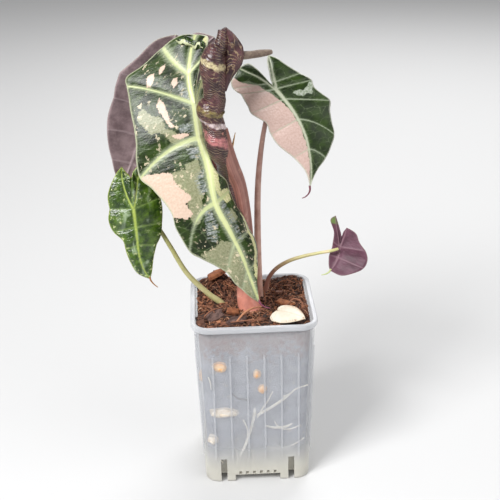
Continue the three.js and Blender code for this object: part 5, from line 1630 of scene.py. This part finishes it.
pink_stalk = stalk_look("front_stalk", (206, 134, 116), (156, 106, 94), 107, 124, (112, 70, 60))
sheath = tube_object("sheath", SHEATH, pink_stalk, 90, 160, winged)
upper_stalk = tube_object("upper_stalk", UPPER_STALK, pink_stalk, 20, 70)
declare(sheath, "pink_stalk", "front_leaf_stalk")
declare(upper_stalk, "pink_stalk", "front_leaf_stalk")

ringed = rolled_look("rolled_leaf", False)
lined = rolled_look("rolled_tip", True)
column = tube_object("rolled_column", COLUMN, ringed, 72, 300, rolled)
flap = tube_object("rolled_flap", FLAP, lined, 48, 80)
dry_tip = tube_object("dry_tip", DRY_TIP, matt["dry_tip"], 24, 40)
for piece in (column, flap, dry_tip):
    declare(piece, "rolled_leaf", "young_leaf")

STALK_LOOKS = {
    "back_leaf_stalk": stalk_look("back_stalk", (150, 112, 100), (132, 106, 104), 104, 180),
    "right_leaf_stalk": stalk_look("right_stalk", (198, 158, 142), (166, 132, 120), 104, 210),
    "small_left_leaf_stalk": stalk_look(
        "small_left_stalk", (184, 178, 128), (166, 166, 100), 104, 150, flush=(140, 132, 78)
    ),
    "small_right_leaf_stalk": stalk_look(
        "small_right_stalk", (156, 110, 96), (190, 186, 128), 108, 127, flush=(150, 116, 92)
    ),
}
for stalk_name, rows in STALKS.items():
    tone = "pale_stalk" if stalk_name.startswith("small_left") else "pink_stalk"
    declare(tube_object(stalk_name + "_tube", rows, STALK_LOOKS[stalk_name], 20, 90), tone, stalk_name)

floor_shade = Shade("pale_floor")
floor_shade.set(Base_Color=linear(206, 206, 206), Roughness=0.7)
half = 6000  # A floor of 12 m across reaches past every view.
floor_points = [(-half, -half, 0), (half, -half, 0), (half, half, 0), (-half, half, 0)]
floor = mesh_object("floor", floor_points, [[0, 1, 2, 3]], [floor_shade.material], smooth=False)


def area_light(name, place, target, size, power):
    """A square white lamp in metres and watts that looks at its target."""
    data = bpy.data.lights.new(name, "AREA")
    data.size = size
    data.energy = power
    lamp = bpy.data.objects.new(name, data)
    lamp.location = place
    lamp.rotation_euler = (Vector(target) - Vector(place)).to_track_quat("-Z", "Y").to_euler()
    bpy.context.scene.collection.objects.link(lamp)


aim = (0, 0, 0.15)
area_light("key", (-0.7, -0.75, 1.1), aim, 0.55, 25.0)
area_light("fill", (0.9, -0.6, 0.6), aim, 1.0, 5.5)
area_light("back", (0.3, 0.9, 0.9), aim, 0.8, 9.0)

world = bpy.data.worlds.new("studio")
world.use_nodes = True
world.node_tree.nodes["Background"].inputs["Color"].default_value = (0.84, 0.84, 0.85, 1)
world.node_tree.nodes["Background"].inputs["Strength"].default_value = 0.38
bpy.context.scene.world = world
bpy.context.scene.view_settings.view_transform = "Standard"

camera_data = bpy.data.cameras.new("camera")
camera_data.sensor_width = 36
camera_data.lens = CAMERA_LENS
camera_data.clip_start = 0.01
camera_data.clip_end = 50
camera = bpy.data.objects.new("camera", camera_data)
tilt, turn, roll = (math.radians(a) for a in (CAMERA_TILT, CAMERA_TURN, CAMERA_ROLL))
forward = Vector((math.sin(turn) * math.cos(tilt), math.cos(turn) * math.cos(tilt), -math.sin(tilt)))
right = Vector((math.cos(turn), -math.sin(turn), 0))
up = right.cross(forward)
right, up = right * math.cos(roll) + up * math.sin(roll), up * math.cos(roll) - right * math.sin(roll)
camera.matrix_world = Matrix((
    (right.x, up.x, -forward.x, CAMERA_PLACE[0]),
    (right.y, up.y, -forward.y, CAMERA_PLACE[1]),
    (right.z, up.z, -forward.z, CAMERA_PLACE[2]),
    (0, 0, 0, 1),
))
bpy.context.scene.collection.objects.link(camera)
bpy.context.scene.camera = camera
